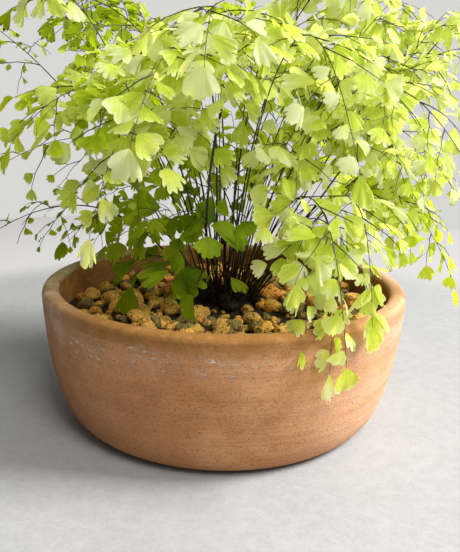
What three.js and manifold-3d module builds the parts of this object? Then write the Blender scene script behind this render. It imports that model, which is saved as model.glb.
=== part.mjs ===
// A maidenhair fern in a shallow terracotta bowl, with soil, a mulch of porous
// gravel and thirty fronds that rise from one crown.
// Millimetres, +Z up, origin on the floor below the middle of the bowl.

import * as THREE from 'three';
import { mergeVertices } from 'three/addons/utils/BufferGeometryUtils.js';
import Module from 'manifold-3d';

const wasm = await Module();
wasm.setup();

// Driving dimensions of the bowl
const RIM_RADIUS = 120;
const RIM_HEIGHT = 87;
const WALL = 10.5;
const LIP_RISE = 4.5;
const FOOT_RADIUS = 88;
const BASE_THICKNESS = 11;
const INNER_FOOT_RADIUS = 74;
const LIP_BASE = RIM_HEIGHT - LIP_RISE;
const DRAIN_RADIUS = 5;
const DRAIN_CIRCLE = 34;
const DRAIN_COUNT = 3;
const DRAIN_SIDES = 12;

// The bowl's side is near upright with a round lower corner, set by two powers,
// and a third power rounds its lip.
const SIDE_POWER = 1.5;
const CORNER_POWER = 3.6;
const LIP_POWER = 0.8;
const ROUND_SEGMENTS = 36;
const OUTSIDE_STEPS = 7;
const INSIDE_STEPS = 5;
const LIP_STEPS = 6;

// Driving dimensions of what the bowl holds
const GAP = 0.3;
const WALL_GAP = 0.36;
const SOIL_LEVEL = 66;
const CROWN_RISE = 10;
const CROWN_SPREAD = 23;
const CROWN_RADIUS = 30;
const BED_THICKNESS = 1.6;
const STONE_COUNT = 56;
const STONE_RADIUS = [5.4, 10.4];
const STONE_ROUGHNESS = [0.84, 1.12];
const STONE_WIDTH = [0.74, 0.96];
const STONE_HEIGHT = [0.62, 0.8];
const STONE_TILT = [-0.35, 0.35];
const STONE_LIFT = [0.02, 0.2];
const STONE_SPACING = 0.84;
const STONE_TRIES = 9000;

// Driving dimensions of the fronds
const STALK_RADIUS = 0.85;
const STALK_DEPTH = 6;
const RACHIS_HALF_WIDTH = 0.7;
const RIB_HALF_WIDTH = 0.5;
const RIB_HALF_THICKNESS = 0.42;
const LEAFLET_HALF_THICKNESS = 0.35;
const NECK = 1.2;
const STALK_SIDES = 5;
const STALK_STEPS = 4;
const FOOT_STEPS = 3;
const CLEARANCE = 0.4;

// Pinnae stand a little over a leaflet apart along the rachis, shorter towards
// the tip. Angles are in degrees, and droops are shares of a length.
const FEWEST_PINNAE = 3;
const MOST_PINNAE = 7;
const PINNA_PITCH = 1.2;
const PINNA_TAPER = 0.7;
const PINNA_LENGTH = [0.85, 1.1];
const PINNA_SWING = [48, 66];
const PINNA_DROOP = [0.15, 0.4];
const FIRST_PINNA = 0.35;
const LEAFLET_PITCH_BASE = 15;
const LEAFLET_PITCH_SHARE = 0.5;
const LEAFLET_SIZE = [0.97, 1.23];
const LEAFLET_SPREAD = [42, 70];
const TIP_SPREAD = [-8, 8];
const LEAFLET_DROOP = [0.1, 0.7];
const LEAFLET_ROLL = [-38, 38];
const LEAFLET_TRIES = 7;

// Seeds of the draws
const STONE_PLACE_SEED = 4021;
const STONE_SHAPE_SEED = 7703;
const PINNA_SEED = 1000;
const LEAFLET_SEED = 5000;
const SEED_STEP = 37;

const UP = new THREE.Vector3(0, 0, 1);

// Each frond is a base on the crown, the top of its arch, its tip, the size of
// its leaflets, the bare share of its length, its longest pinna and the turn of
// its blade towards the light. A young frond is green down to the soil.
const FRONDS = [
  { base: [-14, 8], arch: [-92, 22, 186], tip: [-184, 52, 262], leaf: 10, bare: 0.7, pinna: 44, turn: 20 },
  { base: [-17, 1], arch: [-80, -8, 132], tip: [-154, -36, 112], leaf: 10, bare: 0.46, pinna: 42, turn: 30 },
  { base: [-11, 4], arch: [-64, -14, 172], tip: [-154, -40, 146], leaf: 13, bare: 0.36, pinna: 62, turn: 35 },
  { base: [-10, -7], arch: [-40, -44, 190], tip: [-62, -116, 136], leaf: 15, bare: 0.36, pinna: 62, turn: 0 },
  { base: [-4, -8], arch: [-20, -46, 216], tip: [-40, -128, 178], leaf: 16, bare: 0.38, pinna: 60, turn: 0 },
  { base: [-8, 13], arch: [-56, 44, 216], tip: [-128, 84, 226], leaf: 9, bare: 0.4, pinna: 64, turn: 40 },
  { base: [-5, 7], arch: [-48, 6, 232], tip: [-130, -10, 252], leaf: 11, bare: 0.38, pinna: 66, turn: 35 },
  { base: [-13, 14], arch: [-60, 26, 122], tip: [-120, 34, 104], leaf: 14, bare: 0.4, pinna: 42, turn: 35 },
  { base: [-9, -1], arch: [-56, -26, 196], tip: [-112, -72, 176], leaf: 14, bare: 0.4, pinna: 66, turn: 20 },
  { base: [-3, -2], arch: [-6, -48, 226], tip: [-8, -146, 210], leaf: 17, bare: 0.42, pinna: 60, turn: 0 },
  { base: [8, 4], arch: [16, 30, 230], tip: [52, 92, 252], leaf: 11, bare: 0.42, pinna: 58, turn: 30 },
  { base: [0, 13], arch: [-10, 38, 238], tip: [-34, 108, 264], leaf: 11, bare: 0.42, pinna: 60, turn: 30 },
  { base: [6, -4], arch: [32, -22, 172], tip: [40, -64, 140], leaf: 16, bare: 0.38, pinna: 48, turn: 0 },
  { base: [10, -10], arch: [44, -64, 150], tip: [60, -124, 78], leaf: 17, bare: 0.4, pinna: 50, turn: 0 },
  { base: [16, -9], arch: [48, -44, 134], tip: [78, -98, 98], leaf: 17, bare: 0.36, pinna: 48, turn: 0 },
  { base: [15, 2], arch: [72, -4, 188], tip: [148, -20, 144], leaf: 12, bare: 0.36, pinna: 66, turn: 35 },
  { base: [11, 9], arch: [72, 8, 216], tip: [160, 14, 210], leaf: 12, bare: 0.38, pinna: 66, turn: 35 },
  { base: [7, 15], arch: [60, 30, 238], tip: [140, 50, 264], leaf: 12, bare: 0.38, pinna: 66, turn: 35 },
  { base: [3, 2], arch: [34, -2, 238], tip: [92, -14, 268], leaf: 13, bare: 0.4, pinna: 66, turn: 35 },
  { base: [20, -3], arch: [88, -14, 150], tip: [142, -40, 94], leaf: 11, bare: 0.38, pinna: 52, turn: 25 },
  { base: [3, -9], arch: [30, -62, 224], tip: [54, -146, 170], leaf: 15, bare: 0.38, pinna: 56, turn: 0 },
  { base: [12, -3], arch: [66, -54, 204], tip: [124, -108, 152], leaf: 13, bare: 0.38, pinna: 60, turn: 10 },
  { base: [3, 8], arch: [40, 30, 206], tip: [92, 64, 214], leaf: 12, bare: 0.38, pinna: 62, turn: 35 },
  { base: [-6, 19], arch: [-40, 74, 180], tip: [-84, 140, 146], leaf: 12, bare: 0.36, pinna: 62, turn: -10 },
  { base: [9, 21], arch: [54, 70, 188], tip: [106, 126, 154], leaf: 12, bare: 0.36, pinna: 62, turn: -10 },
  { base: [17, 12], arch: [70, 48, 152], tip: [134, 70, 120], leaf: 12, bare: 0.36, pinna: 58, turn: 25 },
];

const YOUNG_FRONDS = [
  { base: [-14, -12], arch: [-34, -22, 104], tip: [-58, -36, 92], leaf: 15, bare: 0.36, pinna: 34, turn: 10 },
  { base: [-5, -16], arch: [-10, -30, 98], tip: [-18, -48, 90], leaf: 15, bare: 0.4, pinna: 24, turn: 0 },
  { base: [2, -16], arch: [-8, -26, 132], tip: [-28, -44, 118], leaf: 14, bare: 0.34, pinna: 44, turn: 0 },
  { base: [-17, -6], arch: [-38, -8, 134], tip: [-68, -22, 116], leaf: 13, bare: 0.4, pinna: 44, turn: 20 },
];

// Materials
function finish(color, roughness) {
  return new THREE.MeshStandardMaterial({ color, roughness, metalness: 0 });
}

const TERRACOTTA = '#bd7d56';
const DARK_SOIL = '#2b211a';
const OCHRE_STONE = '#a17c4b';
const BLACK_STALK = '#1d1512';
const GREEN_FROND = '#a5bf45';
const DARK_FROND = '#557a2e';

const part = new THREE.Group();

function addPiece(name, geometry, color, roughness) {
  const mesh = new THREE.Mesh(geometry, finish(color, roughness));
  mesh.name = name;
  part.add(mesh);
}

// A seeded row of draws, the same on every build
function draws(seed) {
  let state = seed;
  return (low, high) => {
    state = (state * 16807) % 2147483647;
    return low + (high - low) * (state / 2147483647);
  };
}

// A closed geometry as a solid that can be joined and cut
function solidFrom(geometry) {
  geometry.deleteAttribute('normal');
  geometry.deleteAttribute('uv');
  const merged = mergeVertices(geometry, 1e-4);
  const corners = merged.index.array;
  const kept = [];
  for (let i = 0; i < corners.length; i += 3) {
    const [a, b, c] = corners.slice(i, i + 3);
    if (a !== b && b !== c && c !== a) {
      kept.push(a, b, c);
    }
  }
  const mesh = new wasm.Mesh({
    numProp: 3,
    vertProperties: new Float32Array(merged.attributes.position.array),
    triVerts: new Uint32Array(kept),
  });
  return new wasm.Manifold(mesh);
}

function geometryFrom(solid) {
  const mesh = solid.getMesh();
  const geometry = new THREE.BufferGeometry();
  geometry.setAttribute('position', new THREE.BufferAttribute(mesh.vertProperties, 3));
  geometry.setIndex(new THREE.BufferAttribute(mesh.triVerts, 1));
  return geometry;
}

function turned(profile) {
  const geometry = new THREE.LatheGeometry(profile, ROUND_SEGMENTS);
  geometry.rotateX(Math.PI / 2);
  return geometry;
}

// The bowl: the outer side, a rounded lip and the inner side, turned round the axis
function sideRadius(height, bottom, foot, rim) {
  const rise = Math.max(0, (height - bottom) / (LIP_BASE - bottom));
  const swell = 1 - (1 - rise) ** SIDE_POWER;
  return foot + (rim - foot) * swell ** (1 / CORNER_POWER);
}

function sidePoints(bottom, foot, rim, top, count) {
  const points = [];
  for (let i = 0; i <= count; i += 1) {
    const height = bottom + (top - bottom) * (i / count) ** 2;
    points.push(new THREE.Vector2(sideRadius(height, bottom, foot, rim), height));
  }
  return points;
}

function lipPoints(count) {
  const points = [];
  for (let i = 1; i < count; i += 1) {
    const angle = (Math.PI * i) / count;
    const out = Math.sign(Math.cos(angle)) * Math.abs(Math.cos(angle)) ** LIP_POWER;
    const radius = RIM_RADIUS - WALL / 2 + (WALL / 2) * out;
    points.push(new THREE.Vector2(radius, LIP_BASE + LIP_RISE * Math.sin(angle) ** LIP_POWER));
  }
  return points;
}

function hollowPoints() {
  return sidePoints(BASE_THICKNESS, INNER_FOOT_RADIUS, RIM_RADIUS - WALL, LIP_BASE, INSIDE_STEPS);
}

function hollowRadius(height) {
  return sideRadius(height, BASE_THICKNESS, INNER_FOOT_RADIUS, RIM_RADIUS - WALL);
}

function bowl() {
  const profile = [
    new THREE.Vector2(0, 0),
    ...sidePoints(0, FOOT_RADIUS, RIM_RADIUS, LIP_BASE, OUTSIDE_STEPS),
    ...lipPoints(LIP_STEPS),
    ...hollowPoints().reverse(),
    new THREE.Vector2(0, BASE_THICKNESS),
  ];
  let solid = solidFrom(turned(profile));
  for (let i = 0; i < DRAIN_COUNT; i += 1) {
    const angle = (2 * Math.PI * (i + 0.25)) / DRAIN_COUNT;
    const length = 3 * BASE_THICKNESS;
    const drain = new THREE.CylinderGeometry(DRAIN_RADIUS, DRAIN_RADIUS, length, DRAIN_SIDES);
    drain.rotateX(Math.PI / 2);
    drain.translate(DRAIN_CIRCLE * Math.cos(angle), DRAIN_CIRCLE * Math.sin(angle), 0);
    solid = solid.subtract(solidFrom(drain));
  }
  return solid;
}

// The crown is a low mound of soil in the middle
function crownHeight(radius) {
  return SOIL_LEVEL + CROWN_RISE * Math.exp(-((radius / CROWN_SPREAD) ** 2));
}

// The spine of a frond is one arch from its socket in the soil to its tip
function spineOf(frond) {
  const [x, y] = frond.base;
  const foot = new THREE.Vector3(x, y, crownHeight(Math.hypot(x, y)) - STALK_DEPTH);
  const arch = new THREE.Vector3(...frond.arch);
  const tip = new THREE.Vector3(...frond.tip);
  const bend = arch.multiplyScalar(2).sub(foot.clone().add(tip).divideScalar(2));
  return new THREE.QuadraticBezierCurve3(foot, bend, tip);
}

function stretchOfSpine(spine, from, to) {
  const blend = (a, b, share) => a.clone().lerp(b, share);
  const start = blend(blend(spine.v0, spine.v1, from), blend(spine.v1, spine.v2, from), from);
  const bend = blend(blend(spine.v0, spine.v1, from), blend(spine.v1, spine.v2, from), to);
  const end = blend(blend(spine.v0, spine.v1, to), blend(spine.v1, spine.v2, to), to);
  return new THREE.QuadraticBezierCurve3(start, bend, end);
}

// A stalk is a thin round rod along its stretch of the spine
function rodAlong(path, radius) {
  const corners = [];
  for (let i = 0; i < STALK_SIDES; i += 1) {
    const angle = (2 * Math.PI * i) / STALK_SIDES;
    corners.push(new THREE.Vector2(radius * Math.cos(angle), radius * Math.sin(angle)));
  }
  const outline = new THREE.Shape(corners);
  return new THREE.ExtrudeGeometry(outline, { steps: STALK_STEPS, extrudePath: path });
}

function socketFor(frond, radius) {
  const spine = spineOf(frond);
  const below = -GAP / spine.getLength();
  return solidFrom(rodAlong(stretchOfSpine(spine, below, frond.bare), radius + GAP));
}

// The surface of the soil from the wall in to the top of the crown
function surfacePoints(lift) {
  const points = [new THREE.Vector2(RIM_RADIUS, SOIL_LEVEL + lift)];
  for (const radius of [2.2, 1.3, 0.6, 0].map((share) => share * CROWN_SPREAD)) {
    points.push(new THREE.Vector2(radius, crownHeight(radius) + lift));
  }
  return points;
}

function blockUnder(surface) {
  return solidFrom(turned([new THREE.Vector2(0, 0), new THREE.Vector2(RIM_RADIUS, 0), ...surface]));
}

// The soil fills the hollow of the bowl below the gravel, with a socket for each frond
function soil() {
  const clear = new THREE.Vector2(-WALL_GAP, WALL_GAP);
  const side = hollowPoints().map((point) => point.add(clear));
  const profile = [
    new THREE.Vector2(0, BASE_THICKNESS + clear.y),
    ...side,
    new THREE.Vector2(0, LIP_BASE + clear.y),
  ];
  let solid = solidFrom(turned(profile)).intersect(blockUnder(surfacePoints(0)));
  for (const frond of FRONDS) {
    solid = solid.subtract(socketFor(frond, STALK_RADIUS));
  }
  for (const frond of YOUNG_FRONDS) {
    solid = solid.subtract(socketFor(frond, STALK_RADIUS + GAP));
  }
  return solid;
}

// The gravel: rough stones sunk in a thin bed round the crown
function stone(radius, draw) {
  const geometry = new THREE.IcosahedronGeometry(radius, 0);
  geometry.deleteAttribute('normal');
  geometry.deleteAttribute('uv');
  const lump = mergeVertices(geometry);
  const corners = lump.attributes.position;
  for (let i = 0; i < corners.count; i += 1) {
    const reach = draw(...STONE_ROUGHNESS);
    corners.setXYZ(i, corners.getX(i) * reach, corners.getY(i) * reach, corners.getZ(i) * reach);
  }
  lump.scale(1, draw(...STONE_WIDTH), draw(...STONE_HEIGHT));
  lump.rotateX(draw(...STONE_TILT));
  lump.rotateZ(draw(0, 2 * Math.PI));
  return lump;
}

function placeStones() {
  const draw = draws(STONE_PLACE_SEED);
  const outer = hollowRadius(SOIL_LEVEL);
  const stones = [];
  for (let attempt = 0; stones.length < STONE_COUNT && attempt < STONE_TRIES; attempt += 1) {
    const radius = draw(...STONE_RADIUS);
    const reach = Math.sqrt(draw(CROWN_RADIUS ** 2, outer ** 2));
    const angle = draw(0, 2 * Math.PI);
    const x = reach * Math.cos(angle);
    const y = reach * Math.sin(angle);
    const offWall = reach + radius * STONE_ROUGHNESS[1] < outer - 2 * GAP;
    const offCrown = reach - radius > CROWN_RADIUS - STONE_RADIUS[0];
    const apart = stones.every((other) => {
      const distance = Math.hypot(other.x - x, other.y - y);
      return distance > STONE_SPACING * (other.radius + radius);
    });
    if (offWall && offCrown && apart) {
      stones.push({ x, y, radius });
    }
  }
  return stones;
}

function gravel() {
  const draw = draws(STONE_SHAPE_SEED);
  const bottom = SOIL_LEVEL - BED_THICKNESS;
  const outer = hollowRadius(SOIL_LEVEL) - 3 * GAP;
  const top = SOIL_LEVEL + BED_THICKNESS;
  const inner = CROWN_RADIUS + WALL;
  const ring = [
    new THREE.Vector2(inner, bottom),
    new THREE.Vector2(outer, bottom),
    new THREE.Vector2(outer, top),
    new THREE.Vector2(inner, top),
    new THREE.Vector2(inner, bottom),
  ];
  let heap = solidFrom(turned(ring));
  for (const place of placeStones()) {
    const lump = stone(place.radius, draw);
    lump.translate(place.x, place.y, top + place.radius * draw(...STONE_LIFT));
    heap = heap.add(solidFrom(lump));
  }
  const pieces = heap.subtract(blockUnder(surfacePoints(GAP))).decompose();
  return pieces.reduce((largest, piece) => (piece.volume() > largest.volume() ? piece : largest));
}

// A frond's blade is one thin sheet. The sheet holds points with the way they
// face and half their thickness, and the triangles of its upper side.
class Sheet {
  constructor() {
    this.points = [];
    this.faces = [];
  }

  point(at, normal, half) {
    this.points.push({ at, normal, half });
    return this.points.length - 1;
  }

  face(a, b, c) {
    this.faces.push([a, b, c]);
  }

  quad(a, b, c, d) {
    this.face(a, b, c);
    this.face(a, c, d);
  }

  geometry() {
    const count = this.points.length;
    const positions = [];
    for (const side of [1, -1]) {
      for (const { at, normal, half } of this.points) {
        positions.push(...at.clone().addScaledVector(normal, side * half).toArray());
      }
    }
    const edges = new Set();
    for (const [a, b, c] of this.faces) {
      edges.add(`${a} ${b}`).add(`${b} ${c}`).add(`${c} ${a}`);
    }
    const index = [];
    for (const [a, b, c] of this.faces) {
      index.push(a, b, c, a + count, c + count, b + count);
    }
    for (const edge of edges) {
      const [a, b] = edge.split(' ').map(Number);
      if (!edges.has(`${b} ${a}`)) {
        index.push(a, a + count, b + count, a, b + count, b);
      }
    }
    const geometry = new THREE.BufferGeometry();
    geometry.setAttribute('position', new THREE.Float32BufferAttribute(positions, 3));
    geometry.setIndex(index);
    return geometry;
  }
}

// What has been placed so far, as slightly fattened solids that a new leaflet
// or rib has to clear. Pieces that meet at the same joint may touch.
const placed = [];

function boxOf(points) {
  return new THREE.Box3().setFromPoints(points);
}

function fattened(ring, normal, half, joints) {
  const middle = new THREE.Vector3();
  ring.forEach((corner) => middle.addScaledVector(corner, 1 / ring.length));
  const points = [];
  for (const side of [1, -1]) {
    for (const corner of ring) {
      const outward = corner.clone().sub(middle).setLength(CLEARANCE);
      points.push(corner.clone().add(outward).addScaledVector(normal, side * (half + CLEARANCE)));
    }
  }
  const count = ring.length;
  const index = [];
  for (let i = 1; i < count - 1; i += 1) {
    index.push(0, i, i + 1, count, count + i + 1, count + i);
  }
  for (let i = 0; i < count; i += 1) {
    const next = (i + 1) % count;
    index.push(i, count + i, count + next, i, count + next, next);
  }
  const mesh = new wasm.Mesh({
    numProp: 3,
    vertProperties: new Float32Array(points.flatMap((point) => point.toArray())),
    triVerts: new Uint32Array(index),
  });
  return { solid: new wasm.Manifold(mesh), box: boxOf(points), joints };
}

function isClear(piece) {
  for (const other of placed) {
    const related = piece.joints.some((joint) => other.joints.includes(joint));
    if (!related && piece.box.intersectsBox(other.box)) {
      const shared = piece.solid.intersect(other.solid);
      const crosses = !shared.isEmpty();
      shared.delete();
      if (crosses) {
        return false;
      }
    }
  }
  return true;
}

function placeSolid(solid) {
  const { min, max } = solid.boundingBox();
  const box = new THREE.Box3(new THREE.Vector3(...min), new THREE.Vector3(...max));
  placed.push({ solid, box, joints: [] });
}

// A joint on a rachis or rib: a place, the way it runs, its left and its face
function jointAt(at, along, left, halfWidth) {
  const ahead = along.clone().normalize();
  const face = ahead.clone().cross(left).normalize();
  const beside = face.clone().cross(ahead);
  return { at, along: ahead, left: beside, normal: face, halfWidth, hand: 1, child: null };
}

function stretchBetween(from, to) {
  const edge = ({ at, left, halfWidth }, side) => at.clone().addScaledVector(left, side * halfWidth);
  const ring = [edge(from, 1), edge(from, -1), edge(to, -1), edge(to, 1)];
  return fattened(ring, to.normal, RIB_HALF_THICKNESS, [from, to]);
}

// A leaflet is a small fan with a shallow notch in its outer edge. The pairs
// are shares of its size, across and along, from its right to its left.
const LARGE_FAN = [[0.5, 0.56], [0.33, 0.95], [0, 0.86], [-0.3, 1], [-0.5, 0.6]];
const SMALL_FAN = [[0.5, 0.55], [0.26, 0.98], [-0.24, 1], [-0.5, 0.58]];
const SMALL_LEAFLET = 12.5;

function leafletEdge(leaflet) {
  const fan = leaflet.size < SMALL_LEAFLET ? SMALL_FAN : LARGE_FAN;
  return fan.map(([across, along]) => leaflet.root
    .clone()
    .addScaledVector(leaflet.across, across * leaflet.size)
    .addScaledVector(leaflet.axis, along * leaflet.size));
}

function drawLeaflet(joint, size, atTip, draw) {
  const outward = joint.left.clone().multiplyScalar(joint.hand);
  const spread = THREE.MathUtils.degToRad(draw(...(atTip ? TIP_SPREAD : LEAFLET_SPREAD)));
  const axis = joint.along.clone().multiplyScalar(Math.cos(spread));
  axis.addScaledVector(outward, Math.sin(spread));
  axis.addScaledVector(UP, -draw(...LEAFLET_DROOP)).normalize();
  const neck = atTip ? joint.left.clone().negate() : joint.along.clone().multiplyScalar(joint.hand);
  const across = neck.addScaledVector(axis, -neck.dot(axis)).normalize();
  across.applyAxisAngle(axis, THREE.MathUtils.degToRad(draw(...LEAFLET_ROLL)));
  const root = joint.at.clone();
  if (!atTip) {
    root.addScaledVector(outward, joint.halfWidth);
  }
  const normal = across.clone().cross(axis);
  return { root, axis, across, normal, size: size * draw(...LEAFLET_SIZE) };
}

function fitLeaflet(joint, size, atTip, draw) {
  for (let attempt = 0; attempt < LEAFLET_TRIES; attempt += 1) {
    const leaflet = drawLeaflet(joint, size, atTip, draw);
    const nearNeck = leaflet.root.clone().addScaledVector(leaflet.axis, CLEARANCE);
    const left = nearNeck.clone().addScaledVector(leaflet.across, -NECK / 2);
    const right = nearNeck.clone().addScaledVector(leaflet.across, NECK / 2);
    const ring = [left, right, ...leafletEdge(leaflet)];
    const piece = fattened(ring, leaflet.normal, LEAFLET_HALF_THICKNESS, [joint]);
    if (isClear(piece)) {
      placed.push(piece);
      return leaflet;
    }
  }
  return null;
}

// The joints of a frond's rachis, with a pinna or a leaflet due at each
function planRachis(frond, number) {
  const draw = draws(PINNA_SEED + SEED_STEP * number);
  const spine = spineOf(frond);
  const bladeLength = stretchOfSpine(spine, frond.bare, 1).getLength();
  const wanted = Math.round(bladeLength / (frond.leaf * PINNA_PITCH));
  const count = THREE.MathUtils.clamp(wanted, FEWEST_PINNAE, MOST_PINNAE);
  const level = UP.clone().cross(spine.v2.clone().sub(spine.v0)).normalize();
  const turn = THREE.MathUtils.degToRad(frond.turn) * Math.sign(spine.v2.x - spine.v0.x);
  const joint = (share) => {
    const along = spine.getTangent(share);
    const left = level.clone().applyAxisAngle(along, turn);
    return jointAt(spine.getPoint(share), along, left, RACHIS_HALF_WIDTH);
  };
  const start = joint(frond.bare);
  const joints = [];
  for (let i = 0; i < count; i += 1) {
    const share = (i + FIRST_PINNA) / count;
    const here = joint(frond.bare + (1 - frond.bare) * share);
    here.hand = i % 2 === 0 ? 1 : -1;
    here.reach = frond.pinna * (1 - share) ** PINNA_TAPER * draw(...PINNA_LENGTH);
    here.swing = THREE.MathUtils.degToRad(draw(...PINNA_SWING));
    here.droop = draw(...PINNA_DROOP);
    joints.push(here);
  }
  return { frond, number, start, joints, end: joint(1) };
}

// A pinna runs out from the rachis to one side and droops towards its end
function pinnaJoints(parent, leaf) {
  const outward = parent.left.clone().multiplyScalar(parent.hand);
  const heading = parent.along.clone().multiplyScalar(Math.cos(parent.swing));
  heading.addScaledVector(outward, Math.sin(parent.swing));
  const pitch = LEAFLET_PITCH_BASE + LEAFLET_PITCH_SHARE * leaf;
  const count = Math.max(1, Math.round(parent.reach / pitch));
  const pointAt = (share) => parent.at
    .clone()
    .addScaledVector(heading, parent.reach * share)
    .addScaledVector(UP, -parent.droop * parent.reach * share * share);
  const joints = [];
  for (let i = 1; i <= count; i += 1) {
    const along = pointAt(i / count).sub(pointAt((i - 1) / count)).normalize();
    const left = parent.normal.clone().cross(along).normalize();
    const here = jointAt(pointAt(i / count), along, left, RIB_HALF_WIDTH);
    here.hand = i % 2 === 0 ? 1 : -1;
    joints.push(here);
  }
  return joints;
}

function fitPinna(parent, leaf) {
  const kept = [];
  let previous = parent;
  for (const here of pinnaJoints(parent, leaf)) {
    const piece = stretchBetween(previous, here);
    if (!isClear(piece)) {
      break;
    }
    placed.push(piece);
    kept.push(here);
    previous = here;
  }
  return kept;
}

function placeRachis(plan) {
  const chain = [plan.start, ...plan.joints, plan.end];
  for (let i = 1; i < chain.length; i += 1) {
    placed.push(stretchBetween(chain[i - 1], chain[i]));
  }
}

function fitPinnae(plan) {
  for (const joint of plan.joints) {
    const long = joint.reach > plan.frond.leaf * PINNA_PITCH;
    joint.rib = long ? fitPinna(joint, plan.frond.leaf) : [];
  }
}

function fitLeaflets(plan) {
  const draw = draws(LEAFLET_SEED + SEED_STEP * plan.number);
  const size = plan.frond.leaf;
  for (const joint of plan.joints) {
    const last = joint.rib.length - 1;
    joint.rib.forEach((here, i) => {
      here.child = fitLeaflet(here, size, i === last, draw);
    });
    joint.child = last < 0 ? fitLeaflet(joint, size, false, draw) : null;
  }
  plan.end.child = fitLeaflet(plan.end, size, true, draw);
}

// The sheet grows joint by joint, with a leaflet or a rib from a joint's neck
function edgeOf(sheet, joint, side, shift) {
  const at = joint.at.clone().addScaledVector(joint.left, side * joint.halfWidth);
  at.addScaledVector(joint.along, shift);
  return sheet.point(at, joint.normal, RIB_HALF_THICKNESS);
}

function growLeaflet(sheet, left, right, leaflet) {
  const edge = leafletEdge(leaflet).map((at) => sheet.point(at, leaflet.normal, LEAFLET_HALF_THICKNESS));
  const middle = Math.floor(edge.length / 2);
  for (let i = 0; i < middle; i += 1) {
    sheet.face(right, edge[i], edge[i + 1]);
  }
  sheet.face(left, right, edge[middle]);
  for (let i = middle; i < edge.length - 1; i += 1) {
    sheet.face(left, edge[i], edge[i + 1]);
  }
}

function growRib(sheet, leftStart, rightStart, joints) {
  let left = leftStart;
  let right = rightStart;
  joints.forEach((joint, i) => {
    const atTip = i === joints.length - 1;
    const grows = joint.child || (joint.rib && joint.rib.length > 0);
    if (atTip || !grows) {
      const nextLeft = edgeOf(sheet, joint, 1, 0);
      const nextRight = edgeOf(sheet, joint, -1, 0);
      sheet.quad(left, right, nextRight, nextLeft);
      left = nextLeft;
      right = nextRight;
      if (atTip && joint.child) {
        growLeaflet(sheet, left, right, joint.child);
      }
      return;
    }
    const back = edgeOf(sheet, joint, joint.hand, -NECK / 2);
    const front = edgeOf(sheet, joint, joint.hand, NECK / 2);
    const across = edgeOf(sheet, joint, -joint.hand, 0);
    const neckLeft = joint.hand > 0 ? back : front;
    const neckRight = joint.hand > 0 ? front : back;
    if (joint.hand > 0) {
      sheet.quad(left, right, across, back);
      sheet.face(back, across, front);
      left = front;
      right = across;
    } else {
      sheet.quad(left, right, back, across);
      sheet.face(across, back, front);
      left = across;
      right = front;
    }
    if (joint.child) {
      growLeaflet(sheet, neckLeft, neckRight, joint.child);
    } else {
      growRib(sheet, neckLeft, neckRight, joint.rib);
    }
  });
}

function bladeGeometry(plan, below) {
  const sheet = new Sheet();
  const first = below.length > 0 ? below[0] : plan.start;
  const left = edgeOf(sheet, first, 1, 0);
  const right = edgeOf(sheet, first, -1, 0);
  const rest = below.length > 0 ? [...below.slice(1), plan.start] : [];
  growRib(sheet, left, right, [...rest, ...plan.joints, plan.end]);
  return sheet.geometry();
}

// A young frond's bare foot is part of its sheet
function footJoints(plan) {
  const spine = spineOf(plan.frond);
  const joints = [];
  for (let i = 0; i < FOOT_STEPS; i += 1) {
    const share = (plan.frond.bare * i) / FOOT_STEPS;
    const along = spine.getTangent(share);
    joints.push(jointAt(spine.getPoint(share), along, plan.start.left, RACHIS_HALF_WIDTH));
  }
  return joints;
}

// Putting the pieces together
const pot = bowl();
const bed = gravel();
addPiece('pot', geometryFrom(pot), TERRACOTTA, 0.9);
addPiece('soil', geometryFrom(soil()), DARK_SOIL, 0.95);
addPiece('gravel', geometryFrom(bed), OCHRE_STONE, 0.95);
placeSolid(pot);
placeSolid(bed);

const grown = FRONDS.map((frond, i) => planRachis(frond, i + 1));
const young = YOUNG_FRONDS.map((frond, i) => planRachis(frond, FRONDS.length + i + 1));
const plans = [...grown, ...young];

for (const plan of plans) {
  placeSolid(socketFor(plan.frond, STALK_RADIUS + GAP));
}
plans.forEach(placeRachis);
plans.forEach(fitPinnae);
plans.forEach(fitLeaflets);

grown.forEach((plan, i) => {
  const name = String(i + 1).padStart(2, '0');
  const spine = spineOf(plan.frond);
  const bladeStart = plan.frond.bare - GAP / (2 * spine.v0.distanceTo(spine.v1));
  const stalk = rodAlong(stretchOfSpine(spine, 0, bladeStart), STALK_RADIUS);
  addPiece(`stalk_${name}`, stalk, BLACK_STALK, 0.35);
  addPiece(`frond_${name}`, bladeGeometry(plan, []), GREEN_FROND, 0.55);
});

young.forEach((plan, i) => {
  addPiece(`young_frond_${i + 1}`, bladeGeometry(plan, footJoints(plan)), DARK_FROND, 0.55);
});

export default part;
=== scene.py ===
# A maidenhair fern in a shallow terracotta bowl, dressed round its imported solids.
# Sizes are in millimetres, as in the part's source, and each mesh is made in metres.

from math import copysign, cos, exp, hypot, pi, radians, sin, sqrt

import bmesh
import bpy
import numpy as np
from mathutils import Matrix, Vector, noise
from numpy.linalg import norm


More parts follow.
